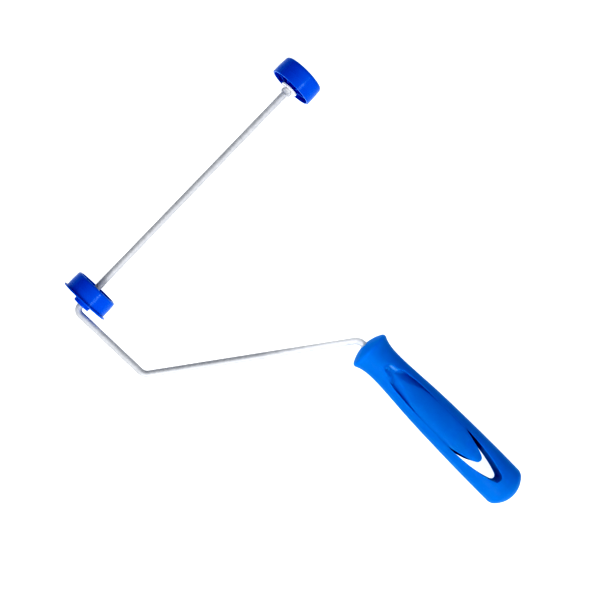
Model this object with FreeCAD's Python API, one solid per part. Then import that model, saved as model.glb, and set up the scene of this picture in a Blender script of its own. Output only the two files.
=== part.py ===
import FreeCAD, Part
import math
import os

from FreeCAD import Vector

# Stick-type paint roller frame: a bent wire with two spinning end caps and a moulded handle.
# Millimetres and degrees. The origin is on the roller axis, in the face that stops the sleeve.
# +X runs along the roller axis to the free end, the handle hangs towards -Y, and +Z is square
# to the plane in which the wire is bent.

# Wire
wire_diameter = 5.5
roller_span = 252.0          # stop face to the outer cap's closed end
rod_end_inset = 0.6          # free end of the rod inside the outer cap's end plane
rod_end_chamfer = 0.6
side_arm_setback = 10.6      # stop face back to the side arm's axis
side_arm_drop = 73.9         # roller axis down to the second bend's corner
handle_reach = 127.7         # stop face across to the third bend's corner
handle_drop = 180.0          # roller axis down to the third bend's corner
handle_lean = 1.5            # the handle's axis off square to the rod
first_bend_radius = 5.3
second_bend_radius = 8.5
third_bend_radius = 9.5
tang_length = 92.0           # third bend's corner to the end of the wire in the handle
tang_end_chamfer = 0.8

# Ears swaged on the rod beside each cap, and flats swaged on the tang
ear_width = 8.6
ear_thickness = 3.6
ear_length = 5.0
ear_gap = 0.3                # between the ears and the bush flange
tang_flat_width = 9.0
tang_flat_thickness = 3.8
tang_flat_length = 14.0
tang_flat_inset = 9.0        # end of the tang to the end of its flats

# Nylon bush, the same in both caps
bush_bore_clearance = 0.05   # radial running clearance on the rod
bush_barrel_radius = 4.3
bush_barrel_length = 10.4
bush_flange_radius = 7.65
bush_flange_thickness = 1.5
bush_edge_chamfer = 0.3
bush_seat_clearance = 0.02   # radial, and under the flange

# Both caps
hub_radius = 6.0
hub_rod_clearance = 0.3      # radial, where the hub passes the rod beyond the bush
rib_count = 6
rib_thickness = 1.3
rib_setback = 0.8            # rib below the hub's end
rib_slope = 2.0              # rib lower at the skirt than at the hub

# Inner cap
flange_radius = 21.0
flange_thickness = 1.2
flange_edge_round = 0.4
inner_land_radius = 19.0     # cylindrical seat of the sleeve
inner_land_length = 6.0
inner_nose_radius = 18.6     # the skirt tapers from the land to its open end
inner_cap_depth = 14.2       # stop face to the open end
inner_nose_round = 1.9
inner_wall = 2.2
inner_web_thickness = 2.0
boss_root_radius = 7.5
boss_tip_radius = 7.2
boss_height = 3.8            # beyond the flange
boss_edge_round = 0.8
inner_hub_end = 6.5          # stop face to the hub's end inside the cap

# Outer cap
outer_cap_depth = 16.5       # open rim to the closed end
outer_rim_radius = 19.0      # cylindrical seat of the sleeve
outer_rim_round = 0.5
outer_land_length = 7.0
outer_end_radius = 18.4      # the skirt tapers from the land to the closed end
outer_end_round = 2.4
outer_wall = 1.7
outer_web_thickness = 2.4
outer_hub_proud = 0.7        # hub beyond the open rim
nut_pocket_radius = 7.4
nut_pocket_depth = 2.2
nut_pocket_wall = 1.6
nut_pocket_floor = 1.8

# Star washer on the free end
nut_radius = 6.3
nut_sheet = 0.5
nut_tooth_root = 4.3         # radius where the teeth start
nut_tooth_rise = 0.7
nut_tooth_count = 6
nut_slot_width = 0.6
nut_floor_gap = 0.2          # between the washer and the pocket's floor
nut_grip_clearance = 0.01    # radial, at the tips of the teeth

# Handle: distances run along its axis from the rim of the guard, radii are its half widths
guard_gap = 11.0             # third bend's corner to the rim of the guard
guard_radius = 18.4
guard_dome_height = 5.8
guard_edge_round = 1.5
guard_flare_slope = 0.68     # growth of the radius per millimetre ahead of the rim
throat_station = 6.5
throat_radius = 15.5
neck_station = 19.0
neck_radius = 14.1
waist_station = 36.0
waist_radius = 14.7
grip_station = 58.0
grip_radius = 16.1
swell_inset = 66.2           # butt rim forward to the swell
swell_radius = 17.3
palm_inset = 27.2            # butt rim forward to the palm
palm_radius = 17.9
handle_length = 157.2        # guard rim to butt rim
butt_radius = 17.9
butt_dome_height = 9.4
butt_edge_round = 1.6
dome_spare = 1.0             # the side runs on this far past each dome, which cuts it
palm_half_thickness = 15.2   # the grip is oval, flatter along Z

# Leaf-shaped recess on the handle's front, with a convex tongue in it
leaf_tip_station = 15.5
leaf_tip_angle = 55.0        # each side off the handle's axis
leaf_half_width = 10.3
leaf_end_inset = 9.8         # butt rim forward to the leaf's end
leaf_tail_length = 51.4      # widest place to the leaf's end
leaf_end_radius = 4.3
leaf_end_angle = 20.0        # where the side meets the end round, off square to the axis
leaf_edge_round = 0.5
groove_floor_drop = 4.0      # flat at the foot of the leaf's wall, below the neck's surface
tongue_crown_drop = 0.9      # tongue below the grip's surface on the centre line
tongue_round_radius = 11.1   # the tongue's crown across the handle, at the palm station
tongue_nose_drop = 3.3       # the same at its nose, from the neck forward
tongue_root_lead = 2.0       # leaf's widest place forward to the tongue's root
tongue_root_margin = 0.9     # tongue outline outside the leaf at its root
tongue_root_angle = 12.0     # the tongue's side at its root, off the handle's axis
tongue_tip_inset = 22.6      # leaf's end forward to the tongue's tip
tongue_tip_radius = 4.0
tongue_tip_angle = 35.0      # where the side meets the tip round, off square to the axis
tang_bore_clearance = 0.05
tang_bore_spare = 1.0        # bore deeper than the tang

# Control arms of the leaf's and the tongue's curves
leaf_front_arm = 8.0
leaf_shoulder_arm = 58.0
leaf_hip_arm = 16.0
leaf_heel_arm = 13.0
tongue_root_arm = 9.0
tongue_tip_arm = 6.0

# Worked-out sizes
wire_radius = wire_diameter / 2
bush_bore_radius = wire_radius + bush_bore_clearance
hub_bore_radius = bush_barrel_radius + bush_seat_clearance
hub_rod_bore_radius = wire_radius + hub_rod_clearance
outer_rim_x = roller_span - outer_cap_depth
outer_hub_x = outer_rim_x - outer_hub_proud
inner_flange_back_x = inner_hub_end + bush_seat_clearance
outer_flange_back_x = outer_hub_x - bush_seat_clearance
nut_pocket_x = roller_span - nut_pocket_depth
boss_end_x = -flange_thickness - boss_height
palm_flatness = palm_half_thickness / palm_radius
groove_floor_height = neck_radius * palm_flatness - groove_floor_drop
swell_station = handle_length - swell_inset
palm_station = handle_length - palm_inset
leaf_end_station = handle_length - leaf_end_inset
leaf_widest_station = leaf_end_station - leaf_tail_length
tongue_root_station = leaf_widest_station - tongue_root_lead
tongue_tip_station = leaf_end_station - tongue_tip_inset

X_AXIS = Vector(1, 0, 0)
Y_AXIS = Vector(0, 1, 0)
Z_AXIS = Vector(0, 0, 1)
ORIGIN = Vector(0, 0, 0)
FULL_TURN = 360.0
NEAR = 1e-4


def solid_of_revolution(outline):
    """Turn a closed outline of (distance along X, radius) points about the X axis."""
    corners = [Vector(x, radius, 0) for x, radius in outline]
    face = Part.Face(Part.makePolygon(corners + corners[:1]))
    return face.revolve(ORIGIN, X_AXIS, FULL_TURN)


def tube(x_start, x_end, radius):
    return Part.makeCylinder(radius, x_end - x_start, Vector(x_start, 0, 0), X_AXIS)


def circles_at(solid, centre, radius):
    """The solid's circular edges with this centre and radius."""
    found = []
    for edge in solid.Edges:
        if edge.Degenerated or not isinstance(edge.Curve, Part.Circle):
            continue
        if edge.Curve.Center.distanceToPoint(centre) < NEAR:
            if abs(edge.Curve.Radius - radius) < NEAR:
                found.append(edge)
    return found


def rounded(solid, size, places):
    """Round the circular edges that lie at the given (x, radius) places."""
    edges = []
    for x, radius in places:
        edges += circles_at(solid, Vector(x, 0, 0), radius)
    return solid.makeFillet(size, edges)


# ---------------------------------------------------------------- wire

def handle_direction():
    lean = math.radians(handle_lean)
    return Vector(-math.sin(lean), -math.cos(lean), 0)


def wire_corners():
    """Free end, three bends and the end of the tang."""
    third = Vector(handle_reach, -handle_drop, 0)
    return [
        Vector(roller_span - rod_end_inset, 0, 0),
        Vector(-side_arm_setback, 0, 0),
        Vector(-side_arm_setback, -side_arm_drop, 0),
        third,
        third + handle_direction() * tang_length,
    ]


def bend(before, corner, after, radius):
    """Tangent arc of the given radius in a corner, as its start, middle and end points."""
    back = (before - corner).normalize()
    ahead = (after - corner).normalize()
    half = back.getAngle(ahead) / 2
    reach = radius / math.tan(half)
    middle_way = (back + ahead).normalize()
    centre = corner + middle_way * (radius / math.sin(half))
    return corner + back * reach, centre - middle_way * radius, corner + ahead * reach


def wire_path():
    corners = wire_corners()
    radii = [first_bend_radius, second_bend_radius, third_bend_radius]
    edges = []
    start = corners[0]
    for index, radius in enumerate(radii, start=1):
        arc_start, arc_middle, arc_end = bend(
            corners[index - 1], corners[index], corners[index + 1], radius)
        edges.append(Part.LineSegment(start, arc_start).toShape())
        edges.append(Part.Arc(arc_start, arc_middle, arc_end).toShape())
        start = arc_end
    edges.append(Part.LineSegment(start, corners[-1]).toShape())
    return Part.Wire(edges)


def end_cone(tip, direction, chamfer):
    """Ring that bevels the wire where it ends at the tip."""
    base = tip - direction * chamfer
    blank = Part.makeCylinder(wire_diameter, chamfer, base, direction)
    kept = Part.makeCone(wire_radius, wire_radius - chamfer, chamfer, base, direction)
    return blank.cut(kept)


def swaged_lens(width, thickness, length, start, direction):
    """Flattened stretch of wire: an ellipse, widest in the plane of the bends."""
    across = Z_AXIS.cross(direction)
    outline = Part.Ellipse(start + across * (width / 2), start + Z_AXIS * (thickness / 2), start)
    face = Part.Face(Part.Wire([outline.toShape()]))
    return face.extrude(direction * length)


def rod_ears():
    inner_start = inner_flange_back_x + bush_flange_thickness + ear_gap
    outer_start = outer_flange_back_x - bush_flange_thickness - ear_gap - ear_length
    return [swaged_lens(ear_width, ear_thickness, ear_length, Vector(x, 0, 0), X_AXIS)
            for x in (inner_start, outer_start)]


def tang_flats(clearance=0.0):
    end = wire_corners()[-1]
    back = end - handle_direction() * (tang_flat_inset + tang_flat_length + clearance)
    return swaged_lens(tang_flat_width + 2 * clearance, tang_flat_thickness + 2 * clearance,
                       tang_flat_length + 2 * clearance, back, handle_direction())


def frame_wire():
    path = wire_path()
    corners = wire_corners()
    section = Part.Face(Part.Wire([Part.makeCircle(wire_radius, corners[0], X_AXIS)]))
    wire = path.makePipe(section)
    wire = wire.cut(end_cone(corners[0], X_AXIS, rod_end_chamfer))
    wire = wire.cut(end_cone(corners[-1], handle_direction(), tang_end_chamfer))
    return wire.fuse(rod_ears() + [tang_flats()]).removeSplitter()


# ---------------------------------------------------------------- bushes and star washer

def bush(flange_back_x, sense):
    """Flanged bush whose barrel runs from the back of its flange along sense * X."""
    flange_face_x = flange_back_x - sense * bush_flange_thickness
    barrel_end_x = flange_back_x + sense * bush_barrel_length
    solid = solid_of_revolution([
        (flange_face_x, bush_bore_radius),
        (flange_face_x, bush_flange_radius - bush_edge_chamfer),
        (flange_face_x + sense * bush_edge_chamfer, bush_flange_radius),
        (flange_back_x, bush_flange_radius),
        (flange_back_x, bush_barrel_radius),
        (barrel_end_x - sense * bush_edge_chamfer, bush_barrel_radius),
        (barrel_end_x, bush_barrel_radius - bush_edge_chamfer),
        (barrel_end_x, bush_bore_radius),
    ])
    return solid


def push_nut():
    """Star washer: a flat ring whose inner edge is slit into teeth that lean outwards."""
    back_x = nut_pocket_x + nut_floor_gap
    tip_radius = wire_radius + nut_grip_clearance
    washer = solid_of_revolution([
        (back_x, nut_radius),
        (back_x, nut_tooth_root),
        (back_x + nut_tooth_rise, tip_radius),
        (back_x + nut_tooth_rise + nut_sheet, tip_radius),
        (back_x + nut_sheet, nut_tooth_root),
        (back_x + nut_sheet, nut_radius),
    ])
    slot_depth = nut_tooth_rise + nut_sheet
    slot = Part.makeBox(slot_depth, nut_slot_width, nut_tooth_root,
                        Vector(back_x, -nut_slot_width / 2, 0))
    for index in range(nut_tooth_count):
        turned = slot.copy()
        turned.rotate(ORIGIN, X_AXIS, index * FULL_TURN / nut_tooth_count)
        washer = washer.cut(turned)
    return washer


# ---------------------------------------------------------------- caps

def ribs(web_x, hub_end_x, skirt_radius, sense):
    """Radial ribs that stand on the web, run from the hub to the skirt and slope down to it."""
    hub_x = hub_end_x - sense * rib_setback
    corners = [
        Vector(web_x, (hub_radius + hub_bore_radius) / 2, 0),
        Vector(hub_x, (hub_radius + hub_bore_radius) / 2, 0),
        Vector(hub_x - sense * rib_slope, skirt_radius, 0),
        Vector(web_x, skirt_radius, 0),
    ]
    face = Part.Face(Part.makePolygon(corners + corners[:1]))
    rib = face.extrude(Z_AXIS * rib_thickness)
    rib.translate(Z_AXIS * (-rib_thickness / 2))
    pattern = []
    for index in range(rib_count):
        turned = rib.copy()
        turned.rotate(ORIGIN, X_AXIS, index * FULL_TURN / rib_count)
        pattern.append(turned)
    return pattern


def inner_cap():
    web_x = inner_web_thickness - flange_thickness
    shell = solid_of_revolution([
        (-flange_thickness, 0),
        (-flange_thickness, flange_radius),
        (0, flange_radius),
        (0, inner_land_radius),
        (inner_land_length, inner_land_radius),
        (inner_cap_depth, inner_nose_radius),
        (inner_cap_depth, inner_nose_radius - inner_wall),
        (web_x, inner_land_radius - inner_wall),
        (web_x, 0),
    ])
    shell = rounded(shell, inner_nose_round, [(inner_cap_depth, inner_nose_radius)])
    shell = rounded(shell, flange_edge_round, [(-flange_thickness, flange_radius),
                                               (0, flange_radius)])
    boss = Part.makeCone(boss_tip_radius, boss_root_radius, boss_height,
                         Vector(boss_end_x, 0, 0), X_AXIS)
    boss = rounded(boss, boss_edge_round, [(boss_end_x, boss_tip_radius)])
    hub = tube(-flange_thickness, inner_hub_end, hub_radius)
    rib_set = ribs(web_x, inner_hub_end, inner_nose_radius - inner_wall / 2, 1)
    cap = shell.fuse([boss, hub] + rib_set)
    bush_seat = tube(inner_flange_back_x - bush_barrel_length - bush_seat_clearance,
                     inner_cap_depth, hub_bore_radius)
    rod_hole = tube(boss_end_x - boss_height, inner_cap_depth, hub_rod_bore_radius)
    return cap.cut([bush_seat, rod_hole]).removeSplitter()


def outer_cap():
    web_x = roller_span - outer_web_thickness
    land_end_x = outer_rim_x + outer_land_length
    shell = solid_of_revolution([
        (roller_span, 0),
        (roller_span, outer_end_radius),
        (land_end_x, outer_rim_radius),
        (outer_rim_x, outer_rim_radius),
        (outer_rim_x, outer_rim_radius - outer_wall),
        (web_x, outer_end_radius - outer_wall),
        (web_x, 0),
    ])
    shell = rounded(shell, outer_end_round, [(roller_span, outer_end_radius)])
    shell = rounded(shell, outer_rim_round, [(outer_rim_x, outer_rim_radius)])
    hub = tube(outer_hub_x, roller_span, hub_radius)
    cup = tube(nut_pocket_x - nut_pocket_floor, roller_span, nut_pocket_radius + nut_pocket_wall)
    rib_set = ribs(web_x, outer_hub_x, outer_end_radius - outer_wall / 2, -1)
    cap = shell.fuse([hub, cup] + rib_set)
    bush_seat = tube(outer_rim_x - outer_cap_depth,
                     outer_flange_back_x + bush_barrel_length + bush_seat_clearance,
                     hub_bore_radius)
    rod_hole = tube(outer_rim_x, roller_span, hub_rod_bore_radius)
    pocket = tube(nut_pocket_x, roller_span + nut_pocket_depth, nut_pocket_radius)
    return cap.cut([bush_seat, rod_hole, pocket]).removeSplitter()


# ---------------------------------------------------------------- handle
# Worked out on its own axis: the guard's rim is at the origin and the butt lies towards -Y.

def at(across, station):
    return Vector(across, -station, 0)


def grip_stations():
    """Half widths of the grip along its axis, run on a little past both domes."""
    flare_lead = guard_dome_height + dome_spare
    return [
        (-flare_lead, guard_radius + guard_flare_slope * flare_lead),
        (0, guard_radius),
        (throat_station, throat_radius),
        (neck_station, neck_radius),
        (waist_station, waist_radius),
        (grip_station, grip_radius),
        (swell_station, swell_radius),
        (palm_station, palm_radius),
        (handle_length, butt_radius),
        (handle_length + butt_dome_height + dome_spare, butt_radius),
    ]


def oval(station, half_width):
    centre = at(0, station)
    rise = Z_AXIS * (half_width * palm_flatness)
    outline = Part.Ellipse(at(half_width, station), centre + rise, centre)
    return Part.Wire([outline.toShape()])


def dome_sphere(rim_radius, height):
    """Radius of the sphere that domes a round rim by this height."""
    return (rim_radius ** 2 + height ** 2) / (2 * height)


def dome_barrel():
    """Round barrel whose two spherical ends carry the guard's and the butt's domes."""
    front_sphere = dome_sphere(guard_radius, guard_dome_height)
    back_sphere = dome_sphere(butt_radius, butt_dome_height)
    barrel_radius = (max(guard_radius, butt_radius) + back_sphere) / 2
    ends = []
    for crown, sphere, outward in ((-guard_dome_height, front_sphere, -1),
                                   (handle_length + butt_dome_height, back_sphere, 1)):
        half_angle = math.asin(barrel_radius / sphere) / 2
        centre = crown - outward * sphere
        points = [at(sphere * math.sin(turn), centre + outward * sphere * math.cos(turn))
                  for turn in (0, half_angle, 2 * half_angle)]
        ends.append(points)
    front, back = ends
    outline = Part.Wire([
        Part.Arc(*front).toShape(),
        Part.LineSegment(front[-1], back[-1]).toShape(),
        Part.Arc(*reversed(back)).toShape(),
        Part.LineSegment(back[0], front[0]).toShape(),
    ])
    return Part.Face(outline).revolve(ORIGIN, Y_AXIS, FULL_TURN)


def grip_body():
    """Lofted oval grip with domed and rounded ends."""
    loft = Part.makeLoft([oval(*station) for station in grip_stations()], True)
    body = loft.common(dome_barrel()).Solids[0]
    guard_rim, butt_rim = None, None
    for edge in body.Edges:
        if edge.Degenerated or not edge.isClosed():
            continue
        if edge.CenterOfMass.y > -neck_station:
            guard_rim = edge
        else:
            butt_rim = edge
    body = body.makeFillet(guard_edge_round, [guard_rim])
    closed = [edge for edge in body.Edges if not edge.Degenerated and edge.isClosed()]
    butt_rim = min(closed, key=lambda edge: abs(edge.Length - butt_rim.Length))
    return body.makeFillet(butt_edge_round, [butt_rim]).Solids[0]


def curve_between(start, start_arm, end_arm, end):
    curve = Part.BezierCurve()
    curve.setPoles([start, start_arm, end_arm, end])
    return curve.toShape()


def mirrored(edges):
    matrix = FreeCAD.Matrix()
    matrix.scale(-1, 1, 1)
    return [edge.transformGeometry(matrix) for edge in edges]


def round_end(station, radius, angle):
    """Tangent point of a side with an end round, and the side's direction there."""
    turn = math.radians(angle)
    centre_station = station - radius
    point = at(radius * math.cos(turn), centre_station + radius * math.sin(turn))
    return point, at(-math.sin(turn), math.cos(turn))


def leaf_face():
    """Leaf outline: pointed at the guard end, widest past the middle, round at the butt end."""
    turn = math.radians(leaf_tip_angle)
    tip = at(0, leaf_tip_station)
    widest = at(leaf_half_width, leaf_widest_station)
    heel, heel_way = round_end(leaf_end_station, leaf_end_radius, leaf_end_angle)
    front = curve_between(
        tip, tip + at(math.sin(turn), math.cos(turn)) * leaf_front_arm,
        widest - at(0, leaf_shoulder_arm), widest)
    rear = curve_between(
        widest, widest + at(0, leaf_hip_arm), heel - heel_way * leaf_heel_arm, heel)
    end = Part.Arc(heel, at(0, leaf_end_station), Vector(-heel.x, heel.y, 0)).toShape()
    sides = [front, rear]
    return Part.Face(Part.Wire(Part.__sortEdges__(sides + [end] + mirrored(sides))))


def tongue_face():
    """Everything on the guard side of the tongue's tip, out past the leaf's sides."""
    root = at(leaf_half_width + tongue_root_margin, tongue_root_station)
    turn = math.radians(tongue_root_angle)
    shoulder = root + at(-math.sin(turn), math.cos(turn)) * tongue_root_arm
    tip_side, tip_way = round_end(tongue_tip_station, tongue_tip_radius, tongue_tip_angle)
    side = curve_between(root, shoulder, tip_side - tip_way * tongue_tip_arm, tip_side)
    edge = Part.LineSegment(at(root.x, 0), root).toShape()
    tip_end = Vector(-tip_side.x, tip_side.y, 0)
    end = Part.Arc(tip_side, at(0, tongue_tip_station), tip_end).toShape()
    front = Part.LineSegment(at(-root.x, 0), at(root.x, 0)).toShape()
    sides = [side, edge]
    return Part.Face(Part.Wire(Part.__sortEdges__(sides + [end, front] + mirrored(sides))))


def tongue_form():
    """Round form whose top is the tongue: it dips at its nose and then follows the grip."""
    axis_height = palm_half_thickness - tongue_crown_drop - tongue_round_radius
    crown_points = []
    for station, radius in grip_stations():
        drop = tongue_nose_drop if station <= neck_station else tongue_crown_drop
        crown_points.append(Vector(0, -station, radius * palm_flatness - drop))
    crown = Part.BSplineCurve()
    crown.interpolate(Points=crown_points)
    corners = [crown_points[-1], Vector(0, crown_points[-1].y, axis_height),
               Vector(0, crown_points[0].y, axis_height), crown_points[0]]
    lines = [Part.LineSegment(corners[i], corners[i + 1]).toShape() for i in range(3)]
    outline = Part.Face(Part.Wire([crown.toShape()] + lines))
    return outline.revolve(corners[1], Y_AXIS, FULL_TURN)


def leaf_cutter():
    """Space of the recess, the slits beside the tongue and the window behind its tip."""
    reach = 2 * palm_half_thickness
    leaf, tongue = leaf_face(), tongue_face()
    leaf.translate(Z_AXIS * -reach)
    tongue.translate(Z_AXIS * -reach)
    span = 2 * (leaf_half_width + tongue_root_margin)
    block = Part.makeBox(2 * span, 2 * handle_length, reach,
                         at(-span, 1.5 * handle_length) + Z_AXIS * groove_floor_height)
    kept = tongue.extrude(Z_AXIS * 2 * reach).cut(block.cut(tongue_form()))
    return leaf.extrude(Z_AXIS * 2 * reach).cut(kept)


def eased_border(grip, skin):
    """Round the edges where the leaf-shaped recess breaks the grip's old skin."""
    border = []
    for edge in grip.Edges:
        if edge.Degenerated or edge.isClosed():
            continue
        points = edge.discretize(5)
        ahead = min(points, key=lambda point: -point.y)
        if min(point.z for point in points) < NEAR or -ahead.y < leaf_tip_station - NEAR:
            continue
        if all(skin.distToShape(Part.Vertex(point))[0] < NEAR for point in points):
            border.append(edge)
    return grip.makeFillet(leaf_edge_round, border).Solids[0]


def handle():
    body = grip_body()
    grip = eased_border(body.cut(leaf_cutter()).Solids[0], body.Shells[0])

    corner = wire_corners()[3]
    way = handle_direction()
    grip.rotate(ORIGIN, Z_AXIS, -handle_lean)
    grip.translate(corner + way * guard_gap)
    bore = Part.makeCylinder(wire_radius + tang_bore_clearance, tang_length + tang_bore_spare,
                             corner, way)
    return grip.cut([bore, tang_flats(tang_bore_clearance)])


# ---------------------------------------------------------------- parts

def main():
    pieces = {
        "frame_wire": frame_wire(),
        "handle": handle(),
        "inner_cap": inner_cap(),
        "inner_bush": bush(inner_flange_back_x, -1),
        "outer_cap": outer_cap(),
        "outer_bush": bush(outer_flange_back_x, 1),
        "push_nut": push_nut(),
    }
    os.makedirs("parts", exist_ok=True)
    for name, shape in pieces.items():
        shape.exportStep(f"parts/{name}.step")
        print(name, "solids", len(shape.Solids), "valid", shape.isValid(),
              "volume", round(shape.Volume, 1))


main()
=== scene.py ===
import logging
import math
from dataclasses import dataclass, field
from enum import Enum
from typing import Any, Callable, Self, Sequence

import bmesh
import bpy
import numpy as np
from mathutils import Matrix, Vector
from numpy.typing import NDArray


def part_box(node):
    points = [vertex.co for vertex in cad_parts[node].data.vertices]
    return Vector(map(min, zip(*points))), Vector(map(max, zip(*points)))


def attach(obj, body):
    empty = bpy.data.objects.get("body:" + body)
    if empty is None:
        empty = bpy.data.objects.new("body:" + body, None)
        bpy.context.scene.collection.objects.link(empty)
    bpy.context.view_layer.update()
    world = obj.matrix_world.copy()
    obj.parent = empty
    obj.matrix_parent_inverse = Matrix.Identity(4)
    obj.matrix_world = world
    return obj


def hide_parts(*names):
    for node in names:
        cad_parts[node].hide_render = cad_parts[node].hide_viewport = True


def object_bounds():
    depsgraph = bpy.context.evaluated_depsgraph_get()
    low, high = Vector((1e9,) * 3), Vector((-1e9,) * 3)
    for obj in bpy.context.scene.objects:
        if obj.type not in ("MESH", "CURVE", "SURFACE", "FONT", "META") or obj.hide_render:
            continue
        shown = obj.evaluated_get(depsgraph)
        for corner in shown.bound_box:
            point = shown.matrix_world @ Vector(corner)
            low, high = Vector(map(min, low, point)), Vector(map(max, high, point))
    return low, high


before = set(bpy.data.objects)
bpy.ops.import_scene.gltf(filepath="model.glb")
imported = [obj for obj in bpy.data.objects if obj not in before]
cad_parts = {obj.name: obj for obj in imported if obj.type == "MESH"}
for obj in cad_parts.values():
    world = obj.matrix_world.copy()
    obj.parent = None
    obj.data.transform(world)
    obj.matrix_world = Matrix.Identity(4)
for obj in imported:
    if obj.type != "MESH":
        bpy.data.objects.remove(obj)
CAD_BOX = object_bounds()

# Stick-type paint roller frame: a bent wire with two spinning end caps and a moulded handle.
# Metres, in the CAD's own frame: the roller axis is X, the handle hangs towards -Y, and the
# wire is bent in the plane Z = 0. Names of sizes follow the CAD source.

Array = NDArray[np.float64]
Triple = tuple[float, float, float]
Socket = bpy.types.NodeSocket
Sockets = bpy.types.bpy_prop_collection

MM = 0.001
QUARTER_TURN = math.pi / 2
FULL_TURN = 2 * math.pi
WEAR = "wear"                # point attribute: 1 on an edge that hands and tools rub
POLISH = "polish"            # point attribute: 1 where the mould was polished, -1 where matt
STRAIGHTENED = "straightened"  # point attribute: where the point lay before the wire was bent
WELD = 0.0008 * MM           # points nearer than this become one
TINY = 0.01 * MM             # step for slopes, and least value of a divisor
LINE_POINTS = 900            # of a finely drawn curve

log = logging.getLogger("roller_frame")


class Sense(Enum):
    """Way along X, from the stop face towards the free end or back."""

    TO_FREE_END = 1
    TO_SIDE_ARM = -1


# ---------------------------------------------------------------- curves


def smoothstep(low: float, high: float, value: Array) -> Array:
    """Ramp from 0 to 1 between low and high: 3t^2 - 2t^3, flat at both ends."""
    share = np.clip((np.asarray(value, float) - low) / (high - low), 0.0, 1.0)
    return share * share * (3.0 - 2.0 * share)


def bezier(poles: Sequence[Array], shares: Array) -> Array:
    """Bezier curve: the poles weighted by the Bernstein polynomials of each share.

    Args:
        poles: Control points; each may be one point or a whole array of points.
        shares: Places from 0 to 1 along the curve, shaped to broadcast with the poles.

    Returns:
        The curve's points.
    """
    degree = len(poles) - 1
    return sum(math.comb(degree, k) * shares**k * (1.0 - shares) ** (degree - k) * pole
               for k, pole in enumerate(poles))


def distances(line: Array) -> Array:
    """Distance of each point of a line from its start, measured along the line."""
    steps = np.linalg.norm(np.diff(line, axis=0), axis=1)
    return np.concatenate(([0.0], np.cumsum(steps)))


def points_at(line: Array, wanted: Array) -> Array:
    """Points of a line at the wanted distances along it, by linear interpolation."""
    along = distances(line)
    return np.stack([np.interp(wanted, along, line[:, k]) for k in range(line.shape[1])], axis=1)


def stretch_of(line: Array, start: float, end: float, count: int) -> Array:
    """Evenly spaced points on part of a line.

    Args:
        line: Points of the line.
        start: Distance along it at which the part starts, below 0 if from the line's end.
        end: Distance at which the part ends, 0 or below if from the line's end.
        count: How many points are wanted.

    Returns:
        The points.
    """
    length = float(distances(line)[-1])
    return points_at(line, np.linspace(start + length * (start < 0.0),
                                       end + length * (end <= 0.0), count))


def outward_normals(line: Array) -> Array:
    """Unit vectors square to a plane line: its direction turned a quarter clockwise.

    Args:
        line: Points (across, along) of the line.

    Returns:
        One unit vector for each point, on the line's right as it runs on.
    """
    way = np.gradient(line, axis=0)
    way /= np.maximum(np.linalg.norm(way, axis=1, keepdims=True), 1e-12)
    return np.stack([way[:, 1], -way[:, 0]], axis=1)


def tangent_arc(before: Array, corner: Array, after: Array, radius: float,
                steps: int) -> tuple[Array, float]:
    """Circle arc that rounds a corner.

    It touches both runs at radius / tan(half) from the corner, half being half the angle
    between them, and its centre lies at radius / sin(half) along their bisector.

    Args:
        before: A point of the run that comes in.
        corner: The corner.
        after: A point of the run that goes out.
        radius: The arc's radius.
        steps: Its divisions.

    Returns:
        The arc's points, and the angle that it turns through, above 0 to the left.
    """
    back = (before - corner) / np.linalg.norm(before - corner)
    ahead = (after - corner) / np.linalg.norm(after - corner)
    half = math.acos(float(np.clip(back @ ahead, -1.0, 1.0))) / 2
    bisector = (back + ahead) / np.linalg.norm(back + ahead)
    centre = corner + bisector * (radius / math.sin(half))
    first = corner + back * (radius / math.tan(half)) - centre
    last = corner + ahead * (radius / math.tan(half)) - centre
    sweep = math.atan2(first[0] * last[1] - first[1] * last[0], float(first @ last))
    turns = np.linspace(0.0, sweep, steps + 1)[:, None]
    square = np.array([-first[1], first[0]])
    return centre + first * np.cos(turns) + square * np.sin(turns), sweep


class SmoothCurve:
    """Clamped cubic spline: cubics that share slope and curvature where they meet."""

    def __init__(self, at: Sequence[float], values: Sequence[float], first_slope: float,
                 last_slope: float) -> None:
        """Work out the slope at each knot.

        Args:
            at: Places of the knots, in rising order.
            values: The curve's height at each knot.
            first_slope: Slope at the first knot.
            last_slope: Slope at the last knot.
        """
        self.at = np.asarray(at, float)
        self.values = np.asarray(values, float)
        gaps = np.diff(self.at)
        rises = np.diff(self.values) / gaps
        count = len(self.at)
        system = np.eye(count)
        right = np.full(count, float(first_slope))
        right[-1] = last_slope
        inner = np.arange(1, count - 1)
        system[inner, inner - 1] = 1.0 / gaps[:-1]
        system[inner, inner] = 2.0 / gaps[:-1] + 2.0 / gaps[1:]
        system[inner, inner + 1] = 1.0 / gaps[1:]
        right[inner] = 3.0 * (rises[:-1] / gaps[:-1] + rises[1:] / gaps[1:])
        self.slopes = np.linalg.solve(system, right)

    def __call__(self, place: Array) -> Array:
        """Height of the curve: Hermite cubics between knots, held level past the ends.

        Args:
            place: Where it is wanted.

        Returns:
            The height at each place.
        """
        place = np.clip(np.asarray(place, float), self.at[0], self.at[-1])
        k = np.clip(np.searchsorted(self.at, place, side="right") - 1, 0, len(self.at) - 2)
        gap = self.at[k + 1] - self.at[k]
        t = (place - self.at[k]) / gap
        return ((1 + 2 * t) * (1 - t) ** 2 * self.values[k]
                + t * (1 - t) ** 2 * gap * self.slopes[k]
                + t * t * (3 - 2 * t) * self.values[k + 1]
                + t * t * (t - 1) * gap * self.slopes[k + 1])


@dataclass(frozen=True)
class Corner:
    """Corner of a turned part's outline."""

    depth: float
    radius: float
    ease: float = 0.0            # radius that rounds the corner


def corners_in_mm(*values: tuple[float, ...]) -> list[Corner]:
    """Corners given as (depth, radius) or (depth, radius, ease) in millimetres."""
    return [Corner(*(value * MM for value in row)) for row in values]


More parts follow.
